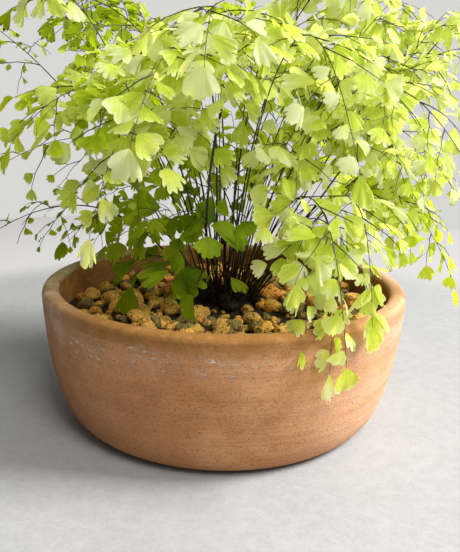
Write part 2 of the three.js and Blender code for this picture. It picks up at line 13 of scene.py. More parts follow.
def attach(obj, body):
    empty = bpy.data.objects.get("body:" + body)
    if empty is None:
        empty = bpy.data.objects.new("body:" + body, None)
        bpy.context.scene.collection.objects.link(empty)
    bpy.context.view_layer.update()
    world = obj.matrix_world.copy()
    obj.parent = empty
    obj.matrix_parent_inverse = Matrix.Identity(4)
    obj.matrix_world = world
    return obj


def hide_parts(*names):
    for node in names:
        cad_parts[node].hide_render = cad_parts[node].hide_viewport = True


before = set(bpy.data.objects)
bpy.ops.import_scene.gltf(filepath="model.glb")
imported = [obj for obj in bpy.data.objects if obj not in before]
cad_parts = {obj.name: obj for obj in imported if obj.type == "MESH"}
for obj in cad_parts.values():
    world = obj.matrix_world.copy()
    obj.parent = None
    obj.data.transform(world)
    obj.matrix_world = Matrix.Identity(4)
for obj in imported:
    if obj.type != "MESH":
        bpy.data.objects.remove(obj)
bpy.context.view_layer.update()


# The bowl is thrown red clay, fired once and left unglazed. Its lip is rounded, its
# side stands near upright over a round lower corner, and three holes drain its base.
# Damp and lime from the water have marked it below the lip.

MM = 0.001
RIM_RADIUS = 120
RIM_HEIGHT = 87
WALL = 10.5
LIP_RISE = 4.5
LIP_BASE = RIM_HEIGHT - LIP_RISE
FOOT_RADIUS = 88
FOOT_EDGE = 3
BASE_THICKNESS = 11
INNER_FOOT_RADIUS = 74
SIDE_POWER = 1.5
CORNER_POWER = 3.6
LIP_POWER = 0.8
OUTER_STEPS = 44
INNER_STEPS = 30
LIP_STEPS = 16
ROUND_STEPS = 168
DRAIN_RADIUS = 5
DRAIN_CIRCLE = 34
DRAIN_COUNT = 3
DRAIN_STEPS = 28
DRAIN_CUT = (-10, 25)
RING_DEPTH = 0.1
WOBBLE = 0.35
WOBBLE_TURNS = 1.4
WOBBLE_HEIGHT = 55
WOBBLE_START = 12


class Form:
    """Points, triangles and three notes a point, gathered for one mesh."""

    def __init__(self):
        self.points, self.faces, self.notes, self.count = [], [], [], 0

    def add(self, points, faces, notes=(0, 0, 0)):
        points = np.asarray(points, float)
        self.points.append(points)
        self.faces.append(np.asarray(faces, int) + self.count)
        self.notes.append(np.broadcast_to(np.asarray(notes, float), points.shape))
        self.count += len(points)
        return self

    def whole(self):
        return [np.concatenate(rows) for rows in (self.points, self.faces, self.notes)]

    def piece(self, name, material=None):
        points, faces, notes = self.whole()
        mesh = bpy.data.meshes.new(name)
        mesh.from_pydata(points * MM, [], faces, shade_flat=False)
        own_notes = mesh.attributes.new("notes", "FLOAT_VECTOR", "POINT")
        own_notes.data.foreach_set("vector", notes.ravel())
        if material:
            mesh.materials.append(material)
        mesh.validate()
        made = bpy.data.objects.new(name, mesh)
        bpy.context.collection.objects.link(made)
        return made


class Shade:
    """A socket in a material, with the sums and products that its patterns need."""

    def __init__(self, tree, socket=None):
        self.tree, self.socket = tree, socket

    def node(self, kind, settings=None, sockets=None, output=0):
        """A new node: first its settings, then a value or a link for each socket."""
        made = self.tree.nodes.new("ShaderNode" + kind)
        for name, value in (settings or {}).items():
            setattr(made, name, value)
        for name, value in (sockets or {}).items():
            entry = made.inputs[name]
            if isinstance(value, Shade):
                self.tree.links.new(value.socket, entry)
            elif entry.type == "RGBA":
                entry.default_value = (*value, 1)
            else:
                entry.default_value = value
        return Shade(self.tree, made.outputs[output])

    def ends_in(self, kind):
        end = self.tree.nodes.new("ShaderNode" + kind)
        self.tree.links.new(self.socket, end.inputs[0])

    def place(self):
        return self.node("TexCoord", None, None, "Object")

    def notes(self):
        return self.node("Attribute", {"attribute_name": "notes"}, None, "Vector")

    def axis(self, way):
        return self.node("SeparateXYZ", None, {0: self}, way)

    def math(self, operation, *others):
        return self.node("Math", {"operation": operation}, dict(enumerate((self, *others))))

    __add__ = __radd__ = lambda self, other: self.math("ADD", other)
    __mul__ = __rmul__ = lambda self, other: self.math("MULTIPLY", other)
    __sub__ = lambda self, other: self.math("SUBTRACT", other)
    __rsub__ = lambda self, other: self * -1 + other
    __truediv__ = lambda self, other: self.math("DIVIDE", other)

    def step(self, low, high):
        """0 below low and 1 above high, with a soft step between them."""
        span = {"Value": self, "From Min": low, "From Max": high}
        return self.node("MapRange", {"interpolation_type": "SMOOTHSTEP"}, span)

    def blend(self, low, high):
        """The colour low where this is 0, and high where it is 1."""
        return self.node("Mix", {"data_type": "RGBA"}, {0: self, 6: low, 7: high}, 2)

    def grain(self, scale, detail=3, rough=0.55, warp=0):
        values = {"Scale": scale, "Detail": detail, "Roughness": rough, "Distortion": warp}
        return self.node("TexNoise", None, {"Vector": self, **values})

    def cells(self, scale):
        return self.node("TexVoronoi", None, {"Vector": self, "Scale": scale}, "Distance")

    def stretched(self, x, y, z):
        return self.node("Mapping", None, {"Vector": self, "Scale": (x, y, z)})

    def bump(self, depth, strength=1):
        return self.node("Bump", None, {"Height": self, "Distance": depth, "Strength": strength})


def new_finish(name):
    """A bare material, and a start for its nodes."""
    material = bpy.data.materials.new(name)
    material.use_nodes = True
    material.node_tree.nodes.clear()
    return material, Shade(material.node_tree)


def painted(colour, *coats):
    """The colour under coats, each a share and its own colour."""
    for share, coat in coats:
        colour = share.blend(colour, coat)
    return colour


def lay(start, colour, rough, shine=0.5, relief=None, glow=None, share=None):
    """Lays a surface, and lets light of the colour glow through a share of it."""
    sockets = {"Base Color": colour, "Roughness": rough, "Specular IOR Level": shine}
    if relief:
        sockets["Normal"] = relief
    surface = start.node("BsdfPrincipled", None, sockets)
    if glow:
        through = start.node("BsdfTranslucent", None, {"Color": glow})
        surface = start.node("MixShader", None, {0: share, 1: surface, 2: through})
    surface.ends_in("OutputMaterial")


def polar(reach, angle):
    return reach * cos(angle), reach * sin(angle)


def ring_angles(steps):
    return np.linspace(0, 2 * pi, steps, endpoint=False)


def ring(radius, height, steps):
    angle = ring_angles(steps)
    return np.stack([radius * np.cos(angle), radius * np.sin(angle), np.full(steps, height)], 1)


def side_radius(height, bottom, foot, rim):
    rise = max(0, (height - bottom) / (LIP_BASE - bottom))
    return foot + (rim - foot) * (1 - (1 - rise) ** SIDE_POWER) ** (1 / CORNER_POWER)


def side_points(bottom, foot, rim, steps):
    heights = [bottom + (LIP_BASE - bottom) * (i / steps) ** 2 for i in range(steps + 1)]
    return [(side_radius(height, bottom, foot, rim), height) for height in heights]


def lip_points():
    points = []
    for i in range(1, LIP_STEPS):
        angle = pi * i / LIP_STEPS
        out = copysign(abs(cos(angle)) ** LIP_POWER, cos(angle))
        rise = LIP_RISE * sin(angle) ** LIP_POWER
        points.append((RIM_RADIUS - WALL / 2 + WALL / 2 * out, LIP_BASE + rise))
    return points


def closed_lathe(rings):
    """Rings joined each to the next, with both ends closed by fans."""
    points = np.concatenate(rings)
    steps = len(rings[0])
    middle, last = len(points), len(points) - steps
    turn = np.arange(steps)
    ahead = (turn + 1) % steps
    faces = []
    for low in range(0, last, steps):
        a, b = low + turn, low + ahead
        faces += [np.stack([a, b, b + steps], 1), np.stack([a, b + steps, a + steps], 1)]
    for hub, a, b in ((middle, ahead, turn), (middle + 1, last + turn, last + ahead)):
        faces.append(np.stack([np.full(steps, hub), a, b], 1))
    ends = points[:steps].mean(0), points[last:].mean(0)
    return np.vstack([points, ends]), np.concatenate(faces)


def thrown_ring(radius, height):
    """A ring of the bowl, with the fingers' throwing lines and a slight wobble."""
    lines = RING_DEPTH * sin(height * 1.25) * sin(height * 0.37 + 1)
    spots = ring(WOBBLE_TURNS, height / WOBBLE_HEIGHT, ROUND_STEPS)
    wobble = np.array([noise.noise(Vector(spot)) for spot in spots]) * WOBBLE
    out = radius + (lines + wobble) * min(1, height / WOBBLE_START) - WOBBLE * 0.6
    level = height + (wobble * 0.5 - 0.2) * (height > LIP_BASE)
    return ring(out, level, ROUND_STEPS)


def cut_drains(made):
    """Cuts the drainage holes, and keeps the result as the piece's own mesh."""
    cutters = []
    for i in range(DRAIN_COUNT):
        spot = [*polar(DRAIN_CIRCLE, 2 * pi * (i + 0.25) / DRAIN_COUNT), 0]
        ends = [ring(DRAIN_RADIUS, height, DRAIN_STEPS) + spot for height in DRAIN_CUT]
        cutters.append(Form().add(*closed_lathe(ends)).piece(f"drain_{i}"))
        cut = made.modifiers.new("drain", "BOOLEAN")
        cut.operation, cut.solver, cut.object = "DIFFERENCE", "EXACT", cutters[-1]
    seen = made.evaluated_get(bpy.context.evaluated_depsgraph_get())
    made.data = bpy.data.meshes.new_from_object(seen)
    made.modifiers.clear()
    for cutter in cutters:
        bpy.data.objects.remove(cutter)


def mark_inside(made):
    """Notes which points are on the inner wall, where the clay is dark: stained, with painted shade
    at the back.
    """
    for vertex, note in zip(made.data.vertices, made.data.attributes["notes"].data):
        x, y, height = vertex.co / MM
        middle = side_radius(min(height, LIP_BASE), 0, FOOT_RADIUS, RIM_RADIUS) - WALL / 2
        within = BASE_THICKNESS - 1 < height < LIP_BASE + 1 and hypot(x, y) < middle
        note.vector = (within, 0, 0)


CLAY = (0.42, 0.184, 0.07)
CLAY_PALE = (0.61, 0.318, 0.143)
CLAY_BROWN = (0.22, 0.09, 0.036)
CLAY_PAINTED_LIGHT = (0.82, 0.57, 0.43)
PORE = (0.12, 0.052, 0.022)
DAMP_CLAY = (0.195, 0.085, 0.012)
INNER_CLAY = (0.45, 0.2, 0.046)
INNER_BROWN = (0.28, 0.12, 0.03)
INNER_SHADE = (0.1, 0.055, 0.006)
ALGAE = (0.19, 0.155, 0.05)
LIME = (0.82, 0.7, 0.57)

terracotta, clay = new_finish("terracotta_clay")
place = clay.place()
east, north, height = (place.axis(way) for way in "XYZ")
inside = clay.notes().axis("X")

# The fired clay is cloudy, streaked round by the throwing, sandy and full of pores. Its
# east side, toward the window light, is paler with a streaky painted highlight, and its
# west side, away from the light, is browner with painted shade.
cloud = place.grain(15, 4, 0.6, 0.4)
mottle = place.grain(85, 5, 0.68)
sand = place.grain(820, 3, 0.75)
dust = place.grain(1900, 2, 0.8)
lines = place.stretched(10, 10, 520).grain(1, 4, 0.7, 0.25)
streaks = place.stretched(6, 6, 120).grain(1, 4, 0.6, 0.3)
pores = 1 - place.cells(520).step(0.1, 0.24)
pores = pores * place.grain(75, 3, 0.7).step(0.5, 0.64)
# Painted highlight: the east side, where the window light falls, is paler in streaks.
painted_light_east = east.step(0.02, 0.12) * (0.3 + 0.7 * streaks.step(0.36, 0.58))
colour = painted(
    CLAY,
    (cloud.step(0.33, 0.7), CLAY_PALE),
    (streaks.step(0.45, 0.66) * 0.2, CLAY_BROWN),
    (mottle.step(0.44, 0.72) * 0.3, CLAY_BROWN),
    (lines.step(0.46, 0.66) * 0.24, CLAY_BROWN),
    (dust.step(0.48, 0.66) * 0.6, CLAY_PALE),
    (sand.step(0.5, 0.66) * 0.55, CLAY_BROWN),
    (pores * 0.6, PORE),
    (painted_light_east * 0.44, CLAY_PAINTED_LIGHT),
    # Painted shade: the west side, away from the window light, is browner.
    ((1 - east.step(-0.11, -0.03)) * 0.3, CLAY_BROWN),
)

# The lip stays damp, and algae grow on it at the back and to the west. Lime has dried
# below it, as level dashes and a thin bloom. The inner wall is stained by the soil, and
# its back is darker with painted shade.
wander = height + (cloud - 0.5) * 0.012 + (streaks - 0.5) * 0.008
damp = wander.step(0.0725, 0.083) * (0.7 + 0.3 * mottle.step(0.3, 0.6))
damp = damp * (0.3 + 0.7 * east.step(-0.115, -0.055)) * (1 - 0.85 * east.step(0.045, 0.1))
shade_side = (north - east * 0.9).step(-0.02, 0.13)
moss = place.grain(70, 5, 0.7).step(0.3, 0.62) * height.step(0.066, 0.085) * shade_side
band = wander.step(0.061, 0.069) * (1 - wander.step(0.0745, 0.0805))
dashes = place.stretched(120, 120, 560).grain(1, 5, 0.8).step(0.525, 0.595)
crust = place.grain(600, 4, 0.8).step(0.41, 0.53) * place.grain(20, 3).step(0.42, 0.54)
lime = band * dashes * crust * (1 - 0.6 * east.step(-0.01, 0.04))
bloom = 0.03 + (1 - east.step(-0.11, -0.02)) * 0.25
bloom = bloom * band * place.grain(45, 4).step(0.4, 0.7)
west_bloom = (1 - east.step(-0.12, -0.065)) * height.step(0.062, 0.08)
bloom = bloom + west_bloom * mottle.step(0.3, 0.7) * 0.45
inner_clay_and_shade = mottle.step(0.35, 0.65).blend(INNER_CLAY, INNER_BROWN)
# Painted shade: the back of the inner wall is darkened.
inner_clay_and_shade = (north.step(0, 0.1) * 0.6).blend(inner_clay_and_shade, INNER_SHADE)
colour = painted(
    colour,
    (damp * 0.9, DAMP_CLAY),
    (moss * 0.75, ALGAE),
    (bloom, LIME),
    (lime * 0.85, LIME),
    (inside * (0.86 + 0.14 * mottle), inner_clay_and_shade),
)
relief = mottle * 0.3 + sand * 0.55 + dust * 0.3 + lines * 0.5 + streaks * 0.4
relief = (relief - pores * 0.9 + lime * 0.8).bump(0.0007, 0.85)
lay(clay, colour, 0.8 + 0.15 * mottle, 0.25, relief)

outline = [(DRAIN_RADIUS, 0), (FOOT_RADIUS * 0.6, 0), (FOOT_RADIUS - FOOT_EDGE, 0)]
outline += side_points(0, FOOT_RADIUS, RIM_RADIUS, OUTER_STEPS)
outline += lip_points()
outline += side_points(BASE_THICKNESS, INNER_FOOT_RADIUS, RIM_RADIUS - WALL, INNER_STEPS)[::-1]
outline += [(INNER_FOOT_RADIUS * 0.6, BASE_THICKNESS), (DRAIN_RADIUS, BASE_THICKNESS)]
rings = [thrown_ring(*spot) for spot in outline]
bowl = Form().add(*closed_lathe(rings)).piece("bowl", terracotta)
cut_drains(bowl)
mark_inside(bowl)
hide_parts("pot")
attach(bowl, "root")


# The soil is a dark, crumbly mix of bark, leaf mould and grit, pressed into the bowl
# and mounded in the middle round the fern's crown. Crumbs lie loose on its surface.

WALL_GAP = 0.36
SOIL_LEVEL = 66
SOIL_EDGE_DROP = 1.5
CROWN_RISE = 10
CROWN_SPREAD = 23
LUMP_WIDTH = 9
LUMP_RISE = 0.75
SOIL_STEPS = 120
SOIL_WALL_STEPS = 24
SOIL_RINGS = 44
CRUMB_COUNT = 900
CRUMB_SIZE = (0.5, 1.7)
CRUMB_SEED = 611
ANY_WAY = (0, 6.28)


def draws(seed):
    """A seeded row of draws, the same on every run."""
    state = [seed]

    def draw(low, high):
        state[0] = state[0] * 16807 % 2147483647
        return low + (high - low) * state[0] / 2147483647

    return draw


def crown_height(radius):
    return SOIL_LEVEL + CROWN_RISE * exp(-((radius / CROWN_SPREAD) ** 2))


def hollow_radius(height):
    return side_radius(height, BASE_THICKNESS, INNER_FOOT_RADIUS, RIM_RADIUS - WALL)


def soil_height(x, y):
    lumps = noise.fractal(Vector((x / LUMP_WIDTH, y / LUMP_WIDTH, 3.1)), 0.8, 2.1, 4)
    return crown_height(hypot(x, y)) - 0.7 + LUMP_RISE * lumps


def soil_ring(radius, height):
    """A ring of the soil: level below, and following the lumps where height is None."""
    points = ring(radius, height or 0, SOIL_STEPS)
    if height is None:
        points[:, 2] = [soil_height(x, y) for x, y, z in points]
    return points


def round_lump(level):
    """The points and faces of a stone before it is worn."""
    ball = bmesh.new()
    bmesh.ops.create_icosphere(ball, subdivisions=level, radius=1)
    points = np.array([v.co for v in ball.verts])
    faces = np.array([[v.index for v in f.verts] for f in ball.faces])
    ball.free()
    return points, faces


def turned(points, axis, angle):
    return points @ np.array(Matrix.Rotation(angle, 3, axis)).T


SOIL_DARK = (0.01, 0.007, 0.005)
SOIL_PALE = (0.045, 0.028, 0.018)
BARK_PALE = (0.09, 0.055, 0.03)
BARK_RED = (0.12, 0.065, 0.03)

soil_finish, earth = new_finish("dark_soil")
place = earth.place()
crumbs = place.grain(420, 5, 0.7)
colour = painted(
    SOIL_DARK,
    (crumbs.step(0.4, 0.72), SOIL_PALE),
    (place.cells(330).step(0.5, 0.62) * 0.35, BARK_PALE),
    (earth.notes().axis("X"), BARK_RED),
)
relief = (crumbs + place.grain(1500, 2) * 0.4).bump(0.001, 0.9)
lay(earth, colour, 0.72 + 0.22 * crumbs, 0.25, relief)

soil_form = Form()
bottom, foot = BASE_THICKNESS + WALL_GAP, INNER_FOOT_RADIUS - WALL_GAP
side = side_points(bottom, foot, RIM_RADIUS - WALL - WALL_GAP, SOIL_WALL_STEPS)
side = [spot for spot in side if spot[1] < SOIL_LEVEL - SOIL_EDGE_DROP]
edge = hollow_radius(SOIL_LEVEL) - 0.6
top = [(edge * (1 - i / SOIL_RINGS), None) for i in range(SOIL_RINGS)]
profile = [(DRAIN_RADIUS, bottom)] + side + top
soil_form.add(*closed_lathe([soil_ring(*spot) for spot in profile]))
draw = draws(CRUMB_SEED)
crumb_points, crumb_faces = round_lump(1)
for _ in range(CRUMB_COUNT):
    x, y = polar(edge * sqrt(draw(0, 0.94)), draw(0, 2 * pi))
    size = draw(*CRUMB_SIZE)
    shape = crumb_points * [draw(0.7, 1.2), draw(0.6, 1), draw(0.45, 0.8)]
    dents = [noise.noise(Vector(p * 2.2) + Vector((x, y, 0))) for p in crumb_points]
    shape = shape * (1 + 0.25 * np.array(dents)[:, None]) * size
    shape = turned(turned(shape, "Z", draw(*ANY_WAY)), "X", draw(-0.6, 0.6))
    spot = [x, y, soil_height(x, y) + size * 0.25]
    soil_form.add(shape + spot, crumb_faces, (max(0, draw(-1.6, 1)), 0, 0))
soil = soil_form.piece("soil_fill", soil_finish)
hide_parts("soil")
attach(soil, "root")


# The mulch is loose porous gravel, mostly ochre with some olive-grey and orange stones,
# 8 to 20 mm, strewn by hand over the soil round the crown. Grit fills in between.

BED_THICKNESS = 1.6
BED_TOP = SOIL_LEVEL + BED_THICKNESS
CROWN_RADIUS = 30
GAP = 0.3
STONE_COUNT = 56
STONE_RADIUS = (5.4, 10.4)
STONE_ROUGHNESS = (0.84, 1.12)
STONE_CORNERS = 12
STONE_WIDTH = (0.74, 0.96)
STONE_HEIGHT = (0.62, 0.8)
STONE_TILT = (-0.35, 0.35)
STONE_LIFT = (0.02, 0.2)
STONE_SPACING = 0.84
STONE_TRIES = 9000
STONE_PLACE_SEED = 4021
STONE_SHAPE_SEED = 7703
COARSE_RADIUS = 7
BROKEN_RADIUS = 7.4
THREE_PART_RADIUS = 7.6
GRIT_COUNT = 380
GRIT_SIZE = (1.6, 4.6)
FINE_GRIT = 2.8
GRIT_START = 24
GRIT_SEED = 929

# The share of stones up to which each kind goes, and where the kind lies on the colour
# scale: olive, orange and ochre, for the left and the front, and for the right.
RIGHT_FROM = 18
LEFT_KINDS = ((0.17, (0, 0.3)), (0.25, (0.86, 1)), (1, (0.48, 0.8)))
RIGHT_KINDS = ((0.38, (0, 0.34)), (0.46, (0.85, 1)), (1, (0.42, 0.8)))


def place_stones():
    """The large stones' places, by the same rule as in the part's source."""
    draw = draws(STONE_PLACE_SEED)
    outer = hollow_radius(SOIL_LEVEL)
    found = []
    for _ in range(STONE_TRIES):
        radius = draw(*STONE_RADIUS)
        reach = sqrt(draw(CROWN_RADIUS ** 2, outer ** 2))
        x, y = polar(reach, draw(0, 2 * pi))
        off_wall = reach + radius * STONE_ROUGHNESS[1] < outer - 2 * GAP
        off_crown = reach - radius > CROWN_RADIUS - STONE_RADIUS[0]
        apart = all(hypot(a - x, b - y) > STONE_SPACING * (c + radius) for a, b, c in found)
        if off_wall and off_crown and apart:
            found.append((x, y, radius))
            if len(found) == STONE_COUNT:
                break
    return found


def worn_lump(template, size, squash, seed):
    """A lump of porous stone: blunt facets, knobs and pits over a rounded block."""
    shift = Vector((seed * 7.31, seed * 3.17, seed * 1.93))
    reach = []
    for way in map(Vector, template):
        blunt = noise.noise(way + shift) * 0.46
        knobs = noise.fractal(way * 2.2 + shift, 0.85, 2.2, 3) * 0.15
        pits = max(0, noise.noise(way * 5.6 + shift) - 0.25) * 0.3
        reach.append(1 + blunt + knobs - pits)
    return template * np.array(reach)[:, None] * squash * size


STONE_DUST = (0.85, 0.64, 0.24)
PIT_SHADE = (0.035, 0.02, 0.007)
FOOT_SHADE = (0.022, 0.013, 0.007)

stone_finish, rock = new_finish("porous_gravel")
place, notes = rock.place(), rock.notes()
kind, foot_shade = notes.axis("X"), notes.axis("Y")
patch = place.grain(150, 4, 0.6, 0.5)
fine = place.grain(900, 4, 0.7)
colour = kind.node("ValToRGB", None, {0: kind + (patch - 0.5) * 0.34})
stops = colour.socket.node.color_ramp.elements
stops[0].color, stops[1].color = (0.12, 0.09, 0.04, 1), (1, 0.36, 0.06, 1)
for position, stone_colour in (
    (0.3, (0.36, 0.23, 0.075)),
    (0.5, (0.7, 0.36, 0.072)),
    (0.75, (1, 0.54, 0.1)),
    (0.9, (0.95, 0.34, 0.05)),
):
    stops.new(position).color = (*stone_colour, 1)
# Painted shade: the stones' pits are painted near black, besides being sunk in the relief.
hollows = 1 - place.cells(430).step(0.1, 0.4)
small_hollows = 1 - place.cells(900).step(0.12, 0.45)
holes = hollows * place.grain(210, 2).step(0.42, 0.56) + small_hollows * 0.45
colour = painted(
    colour,
    (fine.step(0.42, 0.7) * 0.5, STONE_DUST),
    (holes * 0.9, PIT_SHADE),
    (foot_shade * (0.6 + 0.4 * patch), FOOT_SHADE),
)
relief = (fine * 0.7 + patch * 0.35 - holes * 1.3).bump(0.0019)
lay(rock, colour, 0.8 + 0.15 * fine, 0.25, relief)

gravel_form = Form()
small_lump, fine_lump, coarse_lump = round_lump(2), round_lump(3), round_lump(4)
draw = draws(STONE_SHAPE_SEED)
tone = draws(GRIT_SEED)


def lay_stone(template, spot, size, squash, tilt, turn, seed):
    """Sets a worn stone of some kind, darker on its lower part with painted shade."""
    value = tone(0, 1)
    kinds = RIGHT_KINDS if spot[0] > RIGHT_FROM else LEFT_KINDS
    kind = tone(*next(span for share, span in kinds if value < share))
    lump = worn_lump(template[0], size, squash, seed)
    lump = turned(turned(lump, "X", tilt), "Z", turn) + spot
    # Painted shade: the stone is darker toward its foot, where it sits in the bed.
    low = 1 - np.clip((lump[:, 2] - spot[2] + size * 0.5) / (size * 0.7), 0, 1)
    notes = np.outer(low, [0, 1, 0]) + [kind, 0, 0]
    gravel_form.add(lump, template[1], notes)


stones = place_stones()
for number, (x, y, radius) in enumerate(stones):
    for _ in range(STONE_CORNERS):
        draw(*STONE_ROUGHNESS)
    squash = [1, draw(*STONE_WIDTH), draw(*STONE_HEIGHT)]
    tilt, turn, lift = draw(*STONE_TILT), draw(0, 2 * pi), draw(*STONE_LIFT)
    level = BED_TOP + radius * lift
    if radius < BROKEN_RADIUS or number % 2 == 0:
        template = fine_lump if radius < COARSE_RADIUS else coarse_lump
        lay_stone(template, [x, y, level], radius, squash, tilt, turn, number + 1)
        continue
    parts = 2 if radius < THREE_PART_RADIUS else 3
    for part in range(parts):
        way = turn + 2 * pi * (part + tone(-0.2, 0.2)) / parts
        size = radius * tone(0.5, 0.72)
        east, north = polar(radius - size * tone(0.78, 0.92), way)
        height = level + (radius * squash[2] - size * 0.85) * tone(0.15, 0.7)
        shape = [1, tone(0.72, 0.98), tone(0.66, 0.92)]
        spot = [x + east, y + north, height]
        tilt, own_turn = tone(-0.6, 0.6), tone(*ANY_WAY)
        lay_stone(fine_lump, spot, size, shape, tilt, own_turn, number * 7 + part + 400)

outer = hollow_radius(SOIL_LEVEL) - 1.5
laid = list(stones)
while len(laid) < STONE_COUNT + GRIT_COUNT:
    size = tone(*GRIT_SIZE)
    reach = sqrt(tone(GRIT_START ** 2, (outer - size) ** 2))
    x, y = polar(reach, tone(0, 2 * pi))
    clear = min(hypot(a - x, b - y) - 0.62 * c - 0.55 * size for a, b, c in laid)
    if clear > 0 or tone(0, 1) < 0.012:
        laid.append((x, y, size))
        shape = [1, tone(0.75, 1), tone(0.6, 0.85)]
        template = small_lump if size < FINE_GRIT else fine_lump
        spot = [x, y, soil_height(x, y) + size * 0.42]
        lay_stone(template, spot, size, shape, tone(-0.5, 0.5), tone(*ANY_WAY), len(laid) + 90)
gravel = gravel_form.piece("gravel_mulch", stone_finish)
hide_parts("gravel")
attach(gravel, "root")


# The crown is the fern's short, creeping root stock: a knot of dark scales and hairs,
# with the broken feet of old stalks, from which all the fronds rise.

KNOB_COUNT = 26
KNOB_SPREAD = 22
KNOB_SIZE = (3, 6)
STUB_COUNT = 250
STUB_SPREAD = 17
STUB_RADIUS = (0.2, 0.55)
STUB_TAPER = (1, 0.95, 0.9, 0.85, 0.7)
HAIR_COUNT = 1000
HAIR_SPREAD = 24
HAIR_RADIUS = (0.12, 0.24)
HAIR_TAPER = (1, 0.9, 0.75, 0.5, 0.15)
HAIR_LENGTH = (4, 12)
CROWN_NORTH = 1
CROWN_SEED = 337
BUD_COUNT = 9

# A dead frond's stump, from its foot to its withered bud.
STUMP = [[0, -9, 72], [0.6, -9.6, 90], [-0.4, -9, 106], [0.4, -8.6, 119], [1.6, -8.2, 127]]
STUMP_RADII = [1.5, 1.1, 1, 1.3, 0.5]


def unit(vector):
    return vector / norm(vector)


def tube(path, radii, sides):
    """A thin round rod along a path, closed at both ends."""
    path, radii = np.asarray(path, float), np.asarray(radii, float)
    ahead = np.gradient(path, axis=0)
    ahead /= norm(ahead, axis=1)[:, None]
    aside = np.cross(ahead, [0.31, 0.17, 0.93] if abs(ahead[0][2]) < 0.8 else [0.9, 0.4, 0.1])
    aside /= norm(aside, axis=1)[:, None]
    third = np.cross(ahead, aside)
    angle = ring_angles(sides)[None, :, None]
    circles = np.cos(angle) * aside[:, None] + np.sin(angle) * third[:, None]
    points = (path[:, None] + radii[:, None, None] * circles).reshape(-1, 3)
    row = np.arange(len(path) - 1)[:, None] * sides
    side = np.arange(sides)[None]
    a, b = row + side, row + (side + 1) % sides
    near = np.stack([a, b, b + sides], -1).reshape(-1, 3)
    far = np.stack([a, b + sides, a + sides], -1).reshape(-1, 3)
    last = (len(path) - 1) * sides
    caps = [[0, k + 1, k] for k in range(1, sides - 1)]
    caps += [[last, last + k, last + k + 1] for k in range(1, sides - 1)]
    return points, np.concatenate([near, far, caps])


ROOT_BLACK = (0.004, 0.003, 0.002)
ROOT_BROWN = (0.026, 0.014, 0.007)
ROOT_PALE = (0.032, 0.017, 0.008)

crown_finish, bark = new_finish("root_stock")
streak = bark.place().stretched(1, 1, 0.25).grain(1300, 4, 0.7)
pale = bark.notes().axis("X")
colour = streak.step(0.35, 0.75).blend(ROOT_BLACK, ROOT_BROWN)
colour = (pale * (0.3 + 0.5 * streak)).blend(colour, ROOT_PALE)
lay(bark, colour, 0.6 + 0.3 * streak, 0.2, streak.bump(0.0005, 0.8))

crown_form = Form()
draw = draws(CROWN_SEED)


def crown_spot(reach, angle, lift):
    x, y = polar(reach, angle)
    return np.array([x, y + CROWN_NORTH, crown_height(hypot(x, y + CROWN_NORTH)) + lift])


for number in range(KNOB_COUNT):
    spot = crown_spot(KNOB_SPREAD * sqrt(draw(0, 1)), draw(*ANY_WAY), 0.4)
    size, shape = draw(*KNOB_SIZE), [1.2, draw(0.6, 1), draw(0.5, 0.8)]
    knob = turned(worn_lump(fine_lump[0], size, shape, number + 700), "Z", draw(*ANY_WAY))
    crown_form.add(knob + spot, fine_lump[1])
for number in range(STUB_COUNT + HAIR_COUNT):
    hair = number >= STUB_COUNT
    reach = (HAIR_SPREAD if hair else STUB_SPREAD) * draw(0, 1) ** 0.6
    angle = draw(*ANY_WAY)
    length = draw(*HAIR_LENGTH) if hair else 6 + 34 * draw(0, 1) ** 3.2 * (1.1 - reach / 40)
    lean = draw(0.15, 1.1) if hair else draw(0.05, 0.9) + reach / 26
    lean_way = angle + (draw(-0.8, 0.8) if hair else draw(-1.1, 1.1))
    way = unit(np.array([*polar(lean, lean_way), 1]))
    share = np.linspace(0, 1, 5)[:, None]
    bend = np.array([draw(-0.3, 0.3), draw(-0.3, 0.3), -0.5 if hair else draw(-0.2, 0.05)])
    path = crown_spot(reach, angle, -1) + way * length * share + bend * length * share ** 2
    thick = draw(*(HAIR_RADIUS if hair else STUB_RADIUS))
    taper = HAIR_TAPER if hair else STUB_TAPER
    rod = tube(path, [thick * t for t in taper], 3 if hair else 6)
    crown_form.add(*rod, (max(0, draw(-0.8, 0.6)), 0, 0))
crown_form.add(*tube(STUMP, STUMP_RADII, 7))
for number in range(BUD_COUNT):
    bud = worn_lump(fine_lump[0], draw(1.3, 2.5), [1, 0.8, 1.1], number + 900)
    bud += np.array(STUMP[3]) + [draw(-2.4, 2.4), draw(-1.6, 1.6), draw(-8, 6)]
    crown_form.add(bud, fine_lump[1])
crown = crown_form.piece("crown_of_roots", crown_finish)
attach(crown, "root")


# The grown fronds. Each is a wiry black stalk that arches out of the crown, with side
# branches set to the left and right of its upper part and fan-shaped leaflets on hair
# stalks. The blade is thin enough to let light through.

STALK_DEPTH = 6
STALK_STEPS = 18
FEWEST_PINNAE = 3
MOST_PINNAE = 7
PINNA_PITCH = 1.2
CLOSE_PITCH = 0.95
PINNA_TAPER = 0.7
PINNA_LENGTH = (0.85, 1.1)
PINNA_SWING = (48, 66)
PINNA_DROOP = (0.15, 0.4)
PINNA_SEED = 1000
FIRST_PINNA = 0.35
TWIG_SEED = 8000
SEED_STEP = 37
LEAFLET_PITCH = 0.5
LONG_PINNA = 2.6
PINNA_RADIUS = 0.36
TWIG_RADIUS = 0.26
END_RADIUS = 0.16
HAIR_SHARE = 0.18
LEAF_SAG = (0.1, 0.7)
LEAF_ROLL = 28
LEAF_SIZE = 1.06
LEAF_TONES = 64
UP = np.array([0, 0, 1])
LIGHT_WAY = np.array([0.05, -0.34, 0.78])
